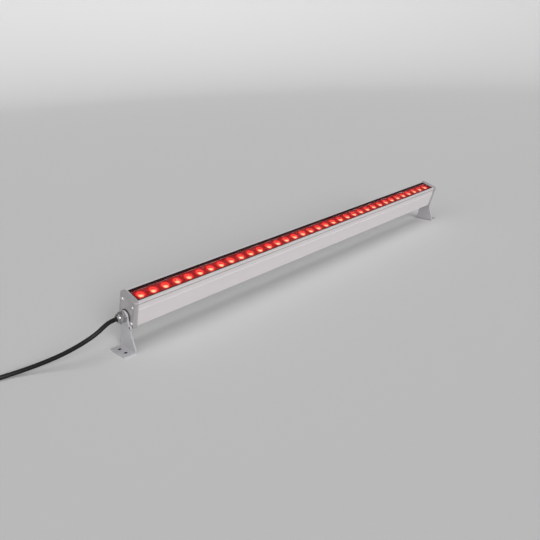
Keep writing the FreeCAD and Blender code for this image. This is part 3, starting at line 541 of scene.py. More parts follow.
def build_lens_rings() -> None:
    """Masks over one lens, from its own map: Hot spot, Halo ring and Rim shade."""
    group = EffectGroup("lens_rings", {
        "Hot Offset": 0.15, "Hot Slant": 2.2, "Hot Size": 0.55, "Hot Gain": 1.5,
        "Halo": 0.55, "Halo Width": 0.22}, "Hot", "Halo", "Rim")
    place = group.parts(group.node("TexCoord").outputs["UV"])
    across, up = (group.math("MULTIPLY_ADD", part, 2.0, -1.0) for part in place[:2])
    hot_x = group.math("ADD", across, "Hot Offset")
    hot_y = group.math("ADD", up, group.math("MULTIPLY", "Hot Offset", "Hot Slant"))
    hot_fall = group.math("DIVIDE", group.length(hot_x, hot_y), "Hot Size")
    hot_core = group.math("SUBTRACT", 1.0, hot_fall, clamp=True)
    group.give("Hot", group.math("MULTIPLY", hot_core, "Hot Gain", clamp=True))
    radius = group.length(across, up)
    halo_far = group.math("ABSOLUTE", group.math("SUBTRACT", radius, "Halo"))
    halo_fall = group.math("DIVIDE", halo_far, "Halo Width")
    group.give("Halo", group.math("SUBTRACT", 1.0, halo_fall, clamp=True))
    group.give("Rim", group.contrast(radius, gain=2.6, lift=-1.55))


def build_effects() -> None:
    """Build every shared effect once, before the finishes that use them."""
    for build in (build_grain, build_drawn_lines, build_edge_wear_and_highlight, build_dust, build_lamp_place,
                  build_height_band, build_painted_hole_shade, build_lens_rings):
        build()


# ---- finishes --------------------------------------------------------------------

def shade(colour: Colour, factor: float) -> Colour:
    """A colour made darker or lighter."""
    return tuple(min(1.0, part * factor) for part in colour)


class Material(NodeBuilder):
    """A material under construction: its Principled shader and what feeds it."""

    def __init__(self, name: str) -> None:
        """Make the material with a bare Principled shader.

        Args:
            name: The finish's name.
        """
        self.made = bpy.data.materials.new(name)
        self.made.use_nodes = True
        super().__init__(self.made.node_tree)
        self.shader = self.tree.nodes["Principled BSDF"]

    def set(self, **values: object) -> None:
        """Fill the shader's inputs, with underscores for spaces in their names."""
        for key, value in values.items():
            self.fill(self.shader.inputs[key.replace("_", " ")], value)

    def mix(self, mask: Socket, first: object, second: object) -> Socket:
        """Blend two colours by a mask.

        Args:
            mask: How much of the second colour shows.
            first: A socket or a plain colour.
            second: Another one.

        Returns:
            The blended colour.
        """
        node = self.node("Mix", data_type="RGBA")
        self.fill(node.inputs["Factor"], mask)
        for socket, value in ((node.inputs[6], first), (node.inputs[7], second)):
            self.fill(socket, (*value, 1.0) if isinstance(value, tuple) else value)
        return node.outputs[2]

    def uneven(self, mask: Socket, colour: Colour, factors: Pair) -> Socket:
        """A colour that wanders between two shades of itself by a mask."""
        return self.mix(mask, *(shade(colour, factor) for factor in factors))

    def span(self, value: Socket, low: float = 0.0, high: float = 1.0, start: float = 0.0,
             end: float = 1.0) -> Socket:
        """Bring a value to another range.

        Args:
            value: The value, which runs from start to end.
            low: The result at the start.
            high: The result at the end.
            start: Where the value starts.
            end: Where it ends.

        Returns:
            The result.
        """
        node = self.node("MapRange")
        self.fill(node.inputs["Value"], value)
        for label, bound in (("From Min", start), ("From Max", end), ("To Min", low),
                             ("To Max", high)):
            self.fill(node.inputs[label], bound)
        return node.outputs["Result"]

    def relief(self, height: Socket, strength: float, depth: float) -> None:
        """Raise the surface by a mask.

        Args:
            height: The mask.
            strength: How much of the relief shows.
            depth: Its height in metres.
        """
        bump = self.node("Bump")
        for label, value in (("Strength", strength), ("Distance", depth), ("Height", height)):
            self.fill(bump.inputs[label], value)
        self.set(Normal=bump.outputs["Normal"])


@dataclass(frozen=True)
class CoatFinish:
    """Satin silver metal: anodised, cast or powder-coated."""

    name: str
    colour: Colour
    roughness: float
    metallic: float
    fine_scale: float
    relief: float
    drawn: bool = False
    drilled: bool = False
    worn_and_lit: Colour = (0.86, 0.84, 0.84)
    uneven: Pair = (0.975, 1.02)
    dust_shade: float = 0.93
    groove_painted_shade: float = 0.45
    painted_hole_shade: float = 0.05
    depth: float = 0.01 * MM
    gloss_spread: float = 0.03
    groove_middle: float = RIM - 5.7 * MM
    groove_half: float = 0.7 * MM

    def build(self) -> Finish:
        """Make the material.

        Returns:
            The material.
        """
        material = Material(self.name)
        fine, broad = material.effect("grain", Fine_Scale=self.fine_scale, Broad_Scale=14.0)
        [dust] = material.effect("dust", Amount=0.22, Patch_Scale=45.0)
        base = material.uneven(broad, self.colour, self.uneven)
        coat = material.mix(dust, base, shade(self.colour, self.dust_shade))
        if self.drawn:
            # Painted shade: the band of heights at the groove under the rim is darkened.
            [band] = material.effect("height_band", Middle=self.groove_middle,
                                     Half=self.groove_half)
            coat = material.mix(band, coat, shade(self.colour, self.groove_painted_shade))
            [height] = material.effect("drawn_lines", Scale=1300.0)
        else:
            # Paler outer edges: partly wear, partly a painted highlight where edges catch the
            # light.
            [wear_and_highlight] = material.effect("edge_wear_and_highlight", Width=0.08, Breakup=320.0)
            coat = material.mix(wear_and_highlight, coat, self.worn_and_lit)
            height = fine
        # Painted shade: the walls of the feet's and ears' holes are darkened almost to black.
        if self.drilled:
            [holes] = material.effect("painted_hole_shade")
            coat = material.mix(holes, coat, shade(self.colour, self.painted_hole_shade))
        gloss = material.span(height, self.roughness - self.gloss_spread,
                              self.roughness + self.gloss_spread)
        material.set(Base_Color=coat, Roughness=gloss, Metallic=self.metallic)
        material.relief(height, self.relief, self.depth)
        return material.made


@dataclass(frozen=True)
class PlainMetalFinish:
    """Bare or plated metal of a fitting."""

    name: str
    colour: Colour
    roughness: float
    stain: Colour
    bright: float = 1.3
    gloss_spread: Pair = (0.12, -0.06)
    relief: float = 0.15
    depth: float = 0.03 * MM

    def build(self) -> Finish:
        """Make the material.

        Returns:
            The material.
        """
        material = Material(self.name)
        fine, broad = material.effect("grain", Fine_Scale=2600.0, Broad_Scale=120.0)
        # Brighter outer edges: partly wear, partly a painted highlight where edges catch the
        # light.
        [wear_and_highlight] = material.effect("edge_wear_and_highlight", Width=0.07, Breakup=500.0)
        base = material.mix(broad, self.stain, self.colour)
        metal = material.mix(wear_and_highlight, base, shade(self.colour, self.bright))
        gloss = material.span(broad, *(self.roughness + off for off in self.gloss_spread))
        material.set(Base_Color=metal, Roughness=gloss, Metallic=1.0)
        material.relief(fine, self.relief, self.depth)
        return material.made


@dataclass(frozen=True)
class SoftFinish:
    """Rubber or plastic with fine grain, a little dust and paler edges: partly wear, partly
    painted highlight.
    """

    name: str
    colour: Colour
    roughness: float
    fine_scale: float = 2200.0
    relief: float = 0.25
    depth: float = 0.04 * MM
    dust: float = 0.25
    gloss: float = 0.5
    gloss_spread: float = 0.08
    uneven: Pair = (0.82, 1.18)
    fade: float = 0.8
    fade_lift: float = 0.05

    def build(self) -> Finish:
        """Make the material.

        Returns:
            The material.
        """
        material = Material(self.name)
        fine, broad = material.effect("grain", Fine_Scale=self.fine_scale, Broad_Scale=60.0)
        [wear_and_highlight] = material.effect("edge_wear_and_highlight", Width=0.09, Breakup=420.0)
        [dust] = material.effect("dust", Amount=self.dust, Patch_Scale=80.0)
        base = material.uneven(broad, self.colour, self.uneven)
        pale = tuple(part * self.fade + self.fade_lift for part in self.colour)
        rough = material.span(fine, self.roughness - self.gloss_spread,
                              self.roughness + self.gloss_spread)
        material.set(Base_Color=material.mix(wear_and_highlight, material.mix(dust, base, pale), pale),
                     Roughness=rough, Specular_IOR_Level=self.gloss)
        material.relief(fine, self.relief, self.depth)
        return material.made


@dataclass(frozen=True)
class PaneFinish:
    """Clear toughened glass."""

    name: str
    colour: Colour = (0.97, 0.99, 0.98)
    uneven: Pair = (0.985, 1.0)
    roughness: Pair = (0.012, 0.054)
    index: float = 1.2

    def build(self) -> Finish:
        """Make the material, with faint smears in its gloss.

        Returns:
            The material.
        """
        material = Material(self.name)
        fine, broad = material.effect("grain", Fine_Scale=90.0, Broad_Scale=25.0)
        material.set(Base_Color=material.uneven(broad, self.colour, self.uneven),
                     Roughness=material.span(fine, *self.roughness),
                     Transmission_Weight=1.0, IOR=self.index)
        return material.made


@dataclass(frozen=True)
class LensFinish:
    """A clear lens full of red light: hot core, pink halo, deep red rim."""

    name: str
    hot: Colour = (1.0, 0.74, 0.40)
    halo: Colour = (0.90, 0.075, 0.045)
    body: Colour = (0.56, 0.008, 0.013)
    rim: Colour = (0.27, 0.002, 0.004)
    acrylic: tuple[Colour, Colour] = ((0.30, 0.01, 0.01), (0.42, 0.02, 0.02))
    roughness: Pair = (0.06, 0.16)
    strength: float = 1.1

    def build(self) -> Finish:
        """Make the material.

        Returns:
            The material.
        """
        material = Material(self.name)
        hot, halo, rim = material.effect("lens_rings")
        fine, broad = material.effect("grain", Fine_Scale=900.0, Broad_Scale=160.0)
        haloed = material.mix(halo, self.body, self.halo)
        rimmed = material.mix(rim, haloed, self.rim)
        material.set(Emission_Color=material.mix(hot, rimmed, self.hot),
                     Base_Color=material.mix(broad, *self.acrylic),
                     Roughness=material.span(fine, *self.roughness),
                     Emission_Strength=self.strength, Coat_Weight=0.15, IOR=1.49)
        return material.made


@dataclass(frozen=True)
class LitBlackFinish:
    """Black plastic or rubber with a painted red glow on its inner part, standing in for the
    lenses' light falling there.
    """

    name: str
    dark_from: float
    lit_within: float
    spill: Colour = (0.30, 0.002, 0.005)
    spill_rest: float = 0.03
    colour: Colour = (0.012, 0.011, 0.012)
    uneven: Pair = (0.7, 1.3)
    roughness: Pair = (0.42, 0.6)
    relief: float = 0.2
    depth: float = 0.03 * MM

    def build(self) -> Finish:
        """Make the material.

        Returns:
            The material.
        """
        material = Material(self.name)
        fine, broad = material.effect("grain", Fine_Scale=2000.0, Broad_Scale=120.0)
        across, _ = material.effect("lamp_place")
        # Painted glow: emission strongest on the inner part, fading to a dim rest outwards.
        fade = material.span(material.math("ABSOLUTE", across), start=self.dark_from,
                             end=self.lit_within)
        dim = shade(self.spill, self.spill_rest)
        material.set(Base_Color=material.uneven(broad, self.colour, self.uneven),
                     Emission_Color=material.mix(fade, dim, self.spill),
                     Roughness=material.span(fine, *self.roughness), Emission_Strength=1.0)
        material.relief(fine, self.relief, self.depth)
        return material.made


@dataclass(frozen=True)
class DiodeFinish:
    """A lit diode: white package, glowing dome."""

    name: str
    package_top: float = RIM - 22.7 * MM
    dome_top: float = RIM - 22.0 * MM
    package: tuple[Colour, Colour] = ((0.70, 0.68, 0.62), (0.80, 0.78, 0.70))
    glow: tuple[Colour, Colour] = ((0.20, 0.01, 0.01), (1.0, 0.25, 0.12))

    def build(self) -> Finish:
        """Make the material, the glow strongest on top.

        Returns:
            The material.
        """
        material = Material(self.name)
        _, up = material.effect("lamp_place")
        _, broad = material.effect("grain", Fine_Scale=2500.0, Broad_Scale=300.0)
        fade = material.span(up, start=self.package_top, end=self.dome_top)
        material.set(Base_Color=material.mix(broad, *self.package),
                     Emission_Color=material.mix(fade, *self.glow),
                     Emission_Strength=2.0, Roughness=0.35)
        return material.made


@dataclass(frozen=True)
class BoardFinish:
    """A circuit board: solder mask with faint copper tracks."""

    name: str
    colour: Colour
    track: Colour
    track_scale: float = 160.0
    track_width: float = 0.035
    uneven: float = 0.93
    roughness: Pair = (0.3, 0.5)
    relief: float = 0.3
    depth: float = 0.03 * MM

    def build(self) -> Finish:
        """Make the material.

        Returns:
            The material.
        """
        material = Material(self.name)
        brick = material.node("TexBrick")
        place = material.node("TexCoord").outputs["Object"]
        for label, value in (("Vector", place), ("Scale", self.track_scale),
                             ("Mortar Size", self.track_width),
                             ("Color1", (*self.colour, 1.0)),
                             ("Color2", (*shade(self.colour, self.uneven), 1.0)),
                             ("Mortar", (*self.track, 1.0))):
            material.fill(brick.inputs[label], value)
        _, broad = material.effect("grain", Fine_Scale=1500.0, Broad_Scale=90.0)
        material.set(Base_Color=brick.outputs["Color"],
                     Roughness=material.span(broad, *self.roughness))
        material.relief(brick.outputs["Fac"], self.relief, self.depth)
        return material.made


class Finishes:
    """Every finish of the light, made once."""

    def __init__(self) -> None:
        """Build the shared effects and the materials."""
        build_effects()
        self.housing = CoatFinish("housing_anodised", (0.715, 0.675, 0.685), roughness=0.36,
                                  metallic=0.30, fine_scale=1800.0, relief=0.02,
                                  drawn=True).build()
        # The caps' grey is set much darker than the housing's silver; this darkness is painted
        # shade, for cap faces that stand in shade.
        self.cap = CoatFinish("cap_cast", (0.40, 0.378, 0.392), roughness=0.42, metallic=0.30,
                              fine_scale=1100.0, relief=0.2).build()
        self.bracket = CoatFinish("bracket_coated", (0.50, 0.49, 0.51), roughness=0.40,
                                  metallic=0.25, fine_scale=1400.0, relief=0.15, drilled=True,
                                  worn_and_lit=(0.58, 0.57, 0.585)).build()
        self.gland = PlainMetalFinish("gland_nickel", (0.42, 0.415, 0.42), roughness=0.32,
                                      stain=(0.29, 0.285, 0.285)).build()
        self.screw = PlainMetalFinish("screw_zinc", (0.80, 0.79, 0.78), roughness=0.30,
                                      stain=(0.62, 0.61, 0.60)).build()
        self.copper = PlainMetalFinish("copper_strands", (0.78, 0.38, 0.22), roughness=0.25,
                                       stain=(0.50, 0.22, 0.12)).build()
        self.seal = SoftFinish("seal_rubber", (0.014, 0.014, 0.015), roughness=0.62).build()
        self.bead = SoftFinish("bead_silicone", (0.012, 0.007, 0.007), roughness=0.5,
                               fine_scale=900.0, relief=0.15, dust=0.04, gloss=0.08).build()
        self.pad = SoftFinish("pad_silicone", (0.24, 0.25, 0.27), roughness=0.7).build()
        self.white_plastic = SoftFinish("plastic_white", (0.76, 0.76, 0.73), roughness=0.42,
                                        fine_scale=1600.0, relief=0.1).build()
        self.black_plastic = SoftFinish("plastic_black", (0.016, 0.016, 0.017), roughness=0.4,
                                        fine_scale=1600.0, relief=0.12).build()
        self.sheath = SoftFinish("cable_sheath", (0.005, 0.0045, 0.0045), roughness=0.42,
                                 fine_scale=3000.0, relief=0.2, dust=0.02, gloss=0.18).build()
        self.cores = {name: SoftFinish(name, colour, roughness=0.35, fine_scale=2500.0,
                                       relief=0.08).build()
                      for name, colour in (("core_brown", (0.11, 0.035, 0.012)),
                                           ("core_blue", (0.012, 0.07, 0.30)),
                                           ("core_earth", (0.20, 0.36, 0.02)))}
        self.glass = PaneFinish("pane_glass").build()
        self.lens = LensFinish("lens_acrylic").build()
        self.tray = LitBlackFinish("tray_black", dark_from=11.9 * MM,
                                   lit_within=11.35 * MM).build()
        self.lit_seal = LitBlackFinish("seal_lit", dark_from=13.9 * MM,
                                       lit_within=12.3 * MM).build()
        self.diode = DiodeFinish("diode_lit").build()
        self.white_board = BoardFinish("board_white", (0.74, 0.73, 0.70),
                                       track=(0.52, 0.50, 0.46)).build()
        self.green_board = BoardFinish("board_green", (0.02, 0.14, 0.05),
                                       track=(0.16, 0.24, 0.08)).build()


# ---- camera and studio -----------------------------------------------------------

@dataclass(frozen=True)
class PhotoCamera:
    """The camera that the photograph was matched with."""

    place: Point = (-0.9849, -0.8616, 0.5340)
    azimuth: float = 44.449
    elevation: float = 22.125
    roll: float = -2.28
    focal_pixels: float = 594.1

    def build(self) -> None:
        """Make the camera and let the scene use it."""
        data = bpy.data.cameras.new("photo_camera")
        data.sensor_width = SENSOR_WIDTH
        data.lens = self.focal_pixels / FRAME_PIXELS * SENSOR_WIDTH
        data.clip_start = 0.01
        camera = link("photo_camera", data)
        camera.matrix_world = (Matrix.Translation(self.place)
                               @ Matrix.Rotation(-math.radians(self.azimuth), 4, "Z")
                               @ Matrix.Rotation(math.radians(90.0 - self.elevation), 4, "X")
                               @ Matrix.Rotation(math.radians(self.roll), 4, "Z"))
        bpy.context.scene.camera = camera


@dataclass(frozen=True)
class SoftSun:
    """One wide, even studio light."""

    name: str
    towards: Point
    strength: float
    spread: float

    def build(self) -> None:
        """Make the light, which shines from the direction that it is named for."""
        data = bpy.data.lights.new(self.name, "SUN")
        data.energy = self.strength
        data.angle = math.radians(self.spread)
        lamp = link(self.name, data)
        lamp.rotation_euler = (-Vector(self.towards)).to_track_quat("-Z", "Y").to_euler()


@dataclass(frozen=True)
class Studio:
    """A plain pale floor that curves up all round, under soft light."""

    floor_radius: float = 4.0
    rise_radius: float = 3.2
    rise_angle: float = 54.0
    rise_steps: int = 14
    round_steps: int = 96
    floor_colour: Colour = (0.60, 0.60, 0.60)
    sky: float = 0.10
    suns: tuple[SoftSun, ...] = (
        SoftSun("key_light", (-0.30, -0.84, 0.45), 2.4, 30.0),
        SoftSun("top_light", (-0.15, -0.25, 0.96), 0.9, 50.0),
        SoftSun("end_light", (-0.90, -0.10, 0.42), 0.6, 40.0),
    )

    def floor_profile(self) -> list[Pair]:
        """The floor's section, from its middle to the top of its rise.

        Returns:
            Points of (height, radius).
        """
        profile = [(0.0, 0.0), (0.0, self.floor_radius)]
        for step in range(1, self.rise_steps + 1):
            angle = math.radians(self.rise_angle) * step / self.rise_steps
            profile.append((self.rise_radius * (1 - math.cos(angle)),
                            self.floor_radius + self.rise_radius * math.sin(angle)))
        return profile

    def build(self) -> None:
        """Make floor, world and lights."""
        bm = bmesh.new()
        add_lathe(bm, self.floor_profile(), self.round_steps, along_z(Vector()))
        mesh = bpy.data.meshes.new("studio_floor")
        bm.to_mesh(mesh)
        bm.free()
        mesh.polygons.foreach_set("use_smooth", [True] * len(mesh.polygons))
        material = Material("floor_pale")
        material.set(Base_Color=(*self.floor_colour, 1.0), Roughness=0.9)
        mesh.materials.append(material.made)
        link("studio_floor", mesh)
        world = bpy.data.worlds.new("studio_world")
        bpy.context.scene.world = world
        world.use_nodes = True
        back = world.node_tree.nodes["Background"]
        back.inputs["Color"].default_value = (1.0, 1.0, 1.0, 1.0)
        back.inputs["Strength"].default_value = self.sky
        for sun in self.suns:
            sun.build()
        bpy.context.scene.view_settings.view_transform = "Standard"


# ---- the lamp --------------------------------------------------------------------

@dataclass
class Assembly:
    """A sub-assembly, which is dressed in the shared finishes."""

    finishes: Finishes


@dataclass
class Housing(Assembly):
    """The extruded body and its two end caps with their screws and seals."""

    half_length: float = 500.0 * MM
    cap_edge: float = 0.25 * MM
    screw_side: float = 15.5 * MM
    screw_ups: Pair = (RIM - 14.0 * MM, RIM - 50.0 * MM)
    head_radius: float = 4.3 * MM
    head_height: float = 2.0 * MM
    head_round_steps: int = 5
    side_height_share: float = 0.62
    top_radius_share: float = 0.55
    shank_radius: float = 1.5 * MM
    shank_length: float = 20.0 * MM
    cross_half: float = 2.3 * MM
    cross_width: float = 1.1 * MM
    cross_depth: float = 1.2 * MM
    cross_over: float = 1.0 * MM
    segments: int = 32

    def head_profile(self) -> list[Pair]:
        """The section of a pan head, from the middle of its top, and its shank.

        Returns:
            Points of (along, radius).
        """
        rounded = []
        for step in range(self.head_round_steps + 1):
            angle = math.pi / 2 * step / self.head_round_steps
            height = self.side_height_share + (1 - self.side_height_share) * math.cos(angle)
            radius = self.top_radius_share + (1 - self.top_radius_share) * math.sin(angle)
            rounded.append((self.head_height * height, self.head_radius * radius))
        return [(self.head_height, 0.0), *rounded, (0.0, self.head_radius),
                (0.0, self.shank_radius), (-self.shank_length, self.shank_radius),
                (-self.shank_length, 0.0)]

    def build_screws(self, side: Side) -> None:
        """Make the four domed pan-head screws of an end, with cross recesses.

        Args:
            side: The end of the lamp.
        """
        bm = bmesh.new()
        tools = bmesh.new()
        reach = sorted(side.value * (self.head_height + off)
                       for off in (-self.cross_depth, self.cross_over))
        for across in (-self.screw_side, self.screw_side):
            for up in self.screw_ups:
                centre = Vector((side.value * self.half_length, across, up))
                add_lathe(bm, self.head_profile(), self.segments, along_x(centre, side.value))
                for long, wide in ((self.cross_half, self.cross_width / 2),
                                   (self.cross_width / 2, self.cross_half)):
                    add_block(tools, centre + Vector((reach[0], -long, -wide)),
                              centre + Vector((reach[1], long, wide)))
        piece = make_piece("cap_screws_%s_domed" % side.word, bm, self.finishes.screw,
                           "cap_screws_" + side.word, move=LAMP.matrix)
        cut_out(piece, tools)

    def build(self) -> None:
        """Dress the housing, caps and seals, and make the screws."""
        dress(self.finishes.housing, "housing")
        for side in Side:
            soften("end_cap_" + side.word, self.finishes.cap, self.cap_edge)
            dress(self.finishes.seal, "end_seal_" + side.word, "pivot_seal_" + side.word)
            self.build_screws(side)


@dataclass
class GlassSet(Assembly):
    """The pane, the seal under it and the bead of sealant round its edge."""

    half_length: float = 489.0 * MM
    half_width: float = 17.0 * MM
    bead_bottom: float = RIM - 1.0 * MM
    bead_height: float = 0.8 * MM
    bead_width: float = 3.2 * MM
    step: float = 9.0 * MM
    profile_steps: int = 6
    waviness: float = 0.10
    wave_scale: float = 55.0

    def route(self) -> list[tuple[Vector, Vector]]:
        """The way round the bead's outer edge.

        Returns:
            Points with their inward directions, mitred at the corners.
        """
        signs = ((-1, -1), (1, -1), (1, 1), (-1, 1))
        corners = [Vector((x * self.half_length, y * self.half_width, 0)) for x, y in signs]
        inward = [Vector((0, 1, 0)), Vector((-1, 0, 0)), Vector((0, -1, 0)), Vector((1, 0, 0))]
        points = []
        for number, start in enumerate(corners):
            end = corners[(number + 1) % 4]
            points.append((start, inward[number] + inward[number - 1]))
            count = max(2, int((end - start).length / self.step))
            for step in range(1, count):
                points.append((start.lerp(end, step / count), inward[number]))
        return points

    def build_bead(self) -> None:
        """Make a hand-run bead of sealant, rounded and slightly uneven."""
        bm = bmesh.new()
        rings = []
        for point, inward in self.route():
            uneven = 1.0 - self.waviness + self.waviness * noise.noise(point * self.wave_scale)
            ring = [bm.verts.new(point + Vector((0, 0, self.bead_bottom)))]
            for step in range(self.profile_steps + 1):
                angle = math.pi / 2 * step / self.profile_steps
                reach = self.bead_width * uneven * math.sin(angle)
                rise = self.bead_height * uneven * math.cos(angle)
                ring.append(bm.verts.new(point + inward * reach
                                         + Vector((0, 0, self.bead_bottom + rise))))
            rings.append(ring)
        bridge(bm, rings, closed=True)
        make_piece("sealant_bead_run", bm, self.finishes.bead, "sealant_bead",
                   crease=50.0, move=LAMP.matrix)

    def build(self) -> None:
        """Dress the pane and its seal and run the bead."""
        dress(self.finishes.glass, "glass_cover")
        dress(self.finishes.lit_seal, "glass_seal")
        self.build_bead()


@dataclass
class LightModules(Assembly):
    """Six modules of six lenses over their boards."""

    module_count: int = 6
    lenses_per_module: int = 6
    pitch: float = 27.0 * MM
    rim_top: float = RIM - 5.0 * MM
    rim_bottom: float = RIM - 6.5 * MM
    tip_bottom: float = RIM - 21.6 * MM
    radius: float = 10.9 * MM
    neck_radius: float = 8.4 * MM
    tip_radius: float = 4.5 * MM
    well_radius: float = 3.2 * MM
    well_depth: float = 1.2 * MM
    well_edge: float = 0.6 * MM
    # Between well and rim the top runs in ripples: (drop, distance from the well's edge).
    ripples: tuple[Pair, ...] = ((0.3 * MM, 0.0), (0.1 * MM, 0.5 * MM), (0.35 * MM, 1.6 * MM),
                                 (0.1 * MM, 2.6 * MM), (0.35 * MM, 3.7 * MM),
                                 (0.1 * MM, 4.7 * MM))
    # The rim's rounded edge and the taper under it: (drop, distance in from the radius).
    rim_round: tuple[Pair, ...] = ((0.0, 1.2 * MM), (0.15 * MM, 0.3 * MM), (0.5 * MM, 0.0))
    taper: tuple[Pair, ...] = ((0.0, 0.0), (5.0 * MM, 0.7 * MM), (10.0 * MM, 2.0 * MM))
    segments: int = 40

    def profile(self) -> list[Pair]:
        """The lens from the middle of its top, over well, ripples and rim, to its tip."""
        well = self.rim_top - self.well_depth
        return [(well, 0.0), (well, self.well_radius - self.well_edge),
                *((self.rim_top - drop, self.well_radius + out) for drop, out in self.ripples),
                *((self.rim_top - drop, self.radius - out) for drop, out in self.rim_round),
                (self.rim_bottom, self.radius),
                *((self.rim_bottom - drop, self.neck_radius - out) for drop, out in self.taper),
                (self.tip_bottom, self.tip_radius), (self.tip_bottom, 0.0)]

    def lens_x(self, module: int, index: int) -> float:
        """A lens's place along X.

        Args:
            module: The module's number, from 1.
            index: The lens's number in it, from 0.

        Returns:
            The distance from the lamp's middle.
        """
        count = self.module_count * self.lenses_per_module
        number = (module - 1) * self.lenses_per_module + index
        return (number - (count - 1) / 2) * self.pitch

    def build_lenses(self, module: int) -> None:
        """Make a module's six lenses, each with its own map for its light.

        Args:
            module: The module's number, from 1.
        """
        bm = bmesh.new()
        for index in range(self.lenses_per_module):
            centre = Vector((self.lens_x(module, index), 0.0, 0.0))
            add_lathe(bm, self.profile(), self.segments, along_z(centre))
        layer = bm.loops.layers.uv.new("lens_map")
        first = self.lens_x(module, 0)
        for face in bm.faces:
            steps = (face.calc_center_median().x - first) / self.pitch
            middle = first + round(steps) * self.pitch
            for loop in face.loops:
                loop[layer].uv = ((loop.vert.co.x - middle) / self.radius / 2 + 0.5,
                                  loop.vert.co.y / self.radius / 2 + 0.5)
        make_piece("lenses_%d_turned" % module, bm, self.finishes.lens,
                   "lenses_%d" % module, crease=50.0, move=LAMP.matrix)

    def build(self) -> None:
        """Dress boards, diodes and trays, and turn the lenses."""
        for module in range(1, self.module_count + 1):
            dress(self.finishes.white_board, "led_board_%d" % module)
            dress(self.finishes.diode, "led_emitters_%d" % module)
            dress(self.finishes.tray, "lens_tray_%d" % module)
            self.build_lenses(module)
        dress(self.finishes.pad, "thermal_pad")
        dress(self.finishes.white_plastic, "board_links")


@dataclass
class Driver(Assembly):
    """The power board in the lower chamber."""

    def build(self) -> None:
        """Dress the board and what stands on it."""
        dress(self.finishes.green_board, "driver_board")
        dress(self.finishes.white_plastic, "terminal_block")
        dress(self.finishes.black_plastic, "transformer", "capacitors")


@dataclass
class Pivots(Assembly):
    """The cable gland of the left pivot and the bolt of the right one."""

    collar_start: float = -510.0 * MM
    collar_edge: float = 0.4 * MM
    nut_ring_length: float = 6.0 * MM
    nut_flats: float = 18.4 * MM
    nut_chamfer: float = 0.8 * MM
    mouth: float = -520.5 * MM
    mouth_radius: float = 6.6 * MM
    mouth_depth: float = 2.0 * MM
    throat_radius: float = 5.6 * MM
    round_radius: float = 9.2 * MM
    dome_steps: int = 8
    dome_share: float = 0.92
    dome_inset: float = 0.5 * MM
    dome_shoulder: float = 0.3 * MM
    lip: float = 0.5 * MM
    nut_segments: int = 48
    rib_count: int = 12
    rib_width: float = 1.2 * MM
    rib_root: float = 7.2 * MM
    rib_share: float = 0.55
    rib_round: float = 0.35 * MM
    rib_bite: float = 0.4 * MM
    rib_sink: float = 0.1 * MM
    washer_edge: float = 0.2 * MM
    bolt_seat: float = 507.5 * MM
    bolt_head_height: float = 6.4 * MM
    bolt_flats: float = 17.0 * MM
    bolt_chamfer: float = 0.7 * MM
    crown_height: float = 0.4 * MM
    # The bolt's crown: (drop below the head's top, radius).
    crown: tuple[Pair, ...] = ((0.6 * MM, 0.0), (0.6 * MM, 7.4 * MM), (0.1 * MM, 6.9 * MM),
                               (0.0, 5.0 * MM), (0.0, 0.0))
    bolt_radius: float = 5.0 * MM
    bolt_point: float = 0.6 * MM
    bolt_end: float = 492.0 * MM
    bolt_segments: int = 40

    def dome(self, ring_end: float) -> list[Pair]:
        """The nut's dome and its rounded mouth, from inside its hexagon outwards.

        Args:
            ring_end: Where the hexagon ends.

        Returns:
            Points of (along, radius).
        """
        start = ring_end + self.dome_inset
        profile = [(start, 0.0), (start, self.round_radius - self.dome_inset)]
        swell = self.round_radius - self.dome_shoulder - self.mouth_radius
        for step in range(self.dome_steps + 1):
            share = step / self.dome_steps
            profile.append((ring_end - (ring_end - self.mouth) * self.dome_share * share,
                            self.mouth_radius + swell * math.cos(math.pi / 2 * share)))
        inside = self.mouth + self.mouth_depth
        return profile + [(self.mouth, self.mouth_radius - self.lip),
                          (self.mouth, self.throat_radius), (inside, self.throat_radius),
                          (inside, 0.0)]

    def build_nut(self) -> None:
        """Make the dome nut: a chamfered hexagon, a ribbed dome and a rounded mouth."""
        bm = bmesh.new()
        ring_end = self.collar_start - self.nut_ring_length
        add_hexagon(bm, ring_end, self.collar_start, self.nut_flats, self.nut_chamfer)
        add_lathe(bm, self.dome(ring_end), self.nut_segments, along_x(Vector()))
        rib_start = ring_end - (ring_end - self.mouth) * self.rib_share
        low = Vector((rib_start, -self.rib_width / 2, self.rib_root))
        high = Vector((ring_end + self.rib_bite, self.rib_width / 2,
                       self.round_radius - self.rib_sink))
        for number in range(self.rib_count):
            kept = set(bm.verts)
            add_block(bm, low, high, self.rib_round)
            turn = Matrix.Rotation(2 * math.pi * number / self.rib_count, 4, "X")
            fresh = [vert for vert in bm.verts if vert not in kept]
            bmesh.ops.transform(bm, matrix=turn, verts=fresh)
        make_piece("gland_nut_ribbed", bm, self.finishes.gland, "gland_nut",
                   move=LAMP.matrix)

    def build_bolt(self) -> None:
        """Make the pivot bolt with a chamfered head and a domed top."""
        bm = bmesh.new()
        head_end = self.bolt_seat + self.bolt_head_height
        add_hexagon(bm, self.bolt_seat, head_end - self.crown_height, self.bolt_flats,
                    self.bolt_chamfer)
        crown = [(head_end - drop, radius) for drop, radius in self.crown]
        shank = [(self.bolt_end, 0.0), (self.bolt_end, self.bolt_radius - self.bolt_point),
                 (self.bolt_end + self.bolt_point, self.bolt_radius),
                 (self.bolt_seat, self.bolt_radius), (self.bolt_seat, 0.0)]
        for profile in (crown, shank):
            add_lathe(bm, profile, self.bolt_segments, along_x(Vector()))
        make_piece("pivot_bolt_turned", bm, self.finishes.screw, "pivot_bolt",
                   move=LAMP.matrix)

    def build(self) -> None:
        """Make and dress both pivots."""
        soften("gland_body", self.finishes.gland, self.collar_edge)
        dress(self.finishes.seal, "gland_insert")
        dress(self.finishes.sheath, "inner_cable")
        soften("bolt_washer", self.finishes.screw, self.washer_edge)
        self.build_nut()
        self.build_bolt()


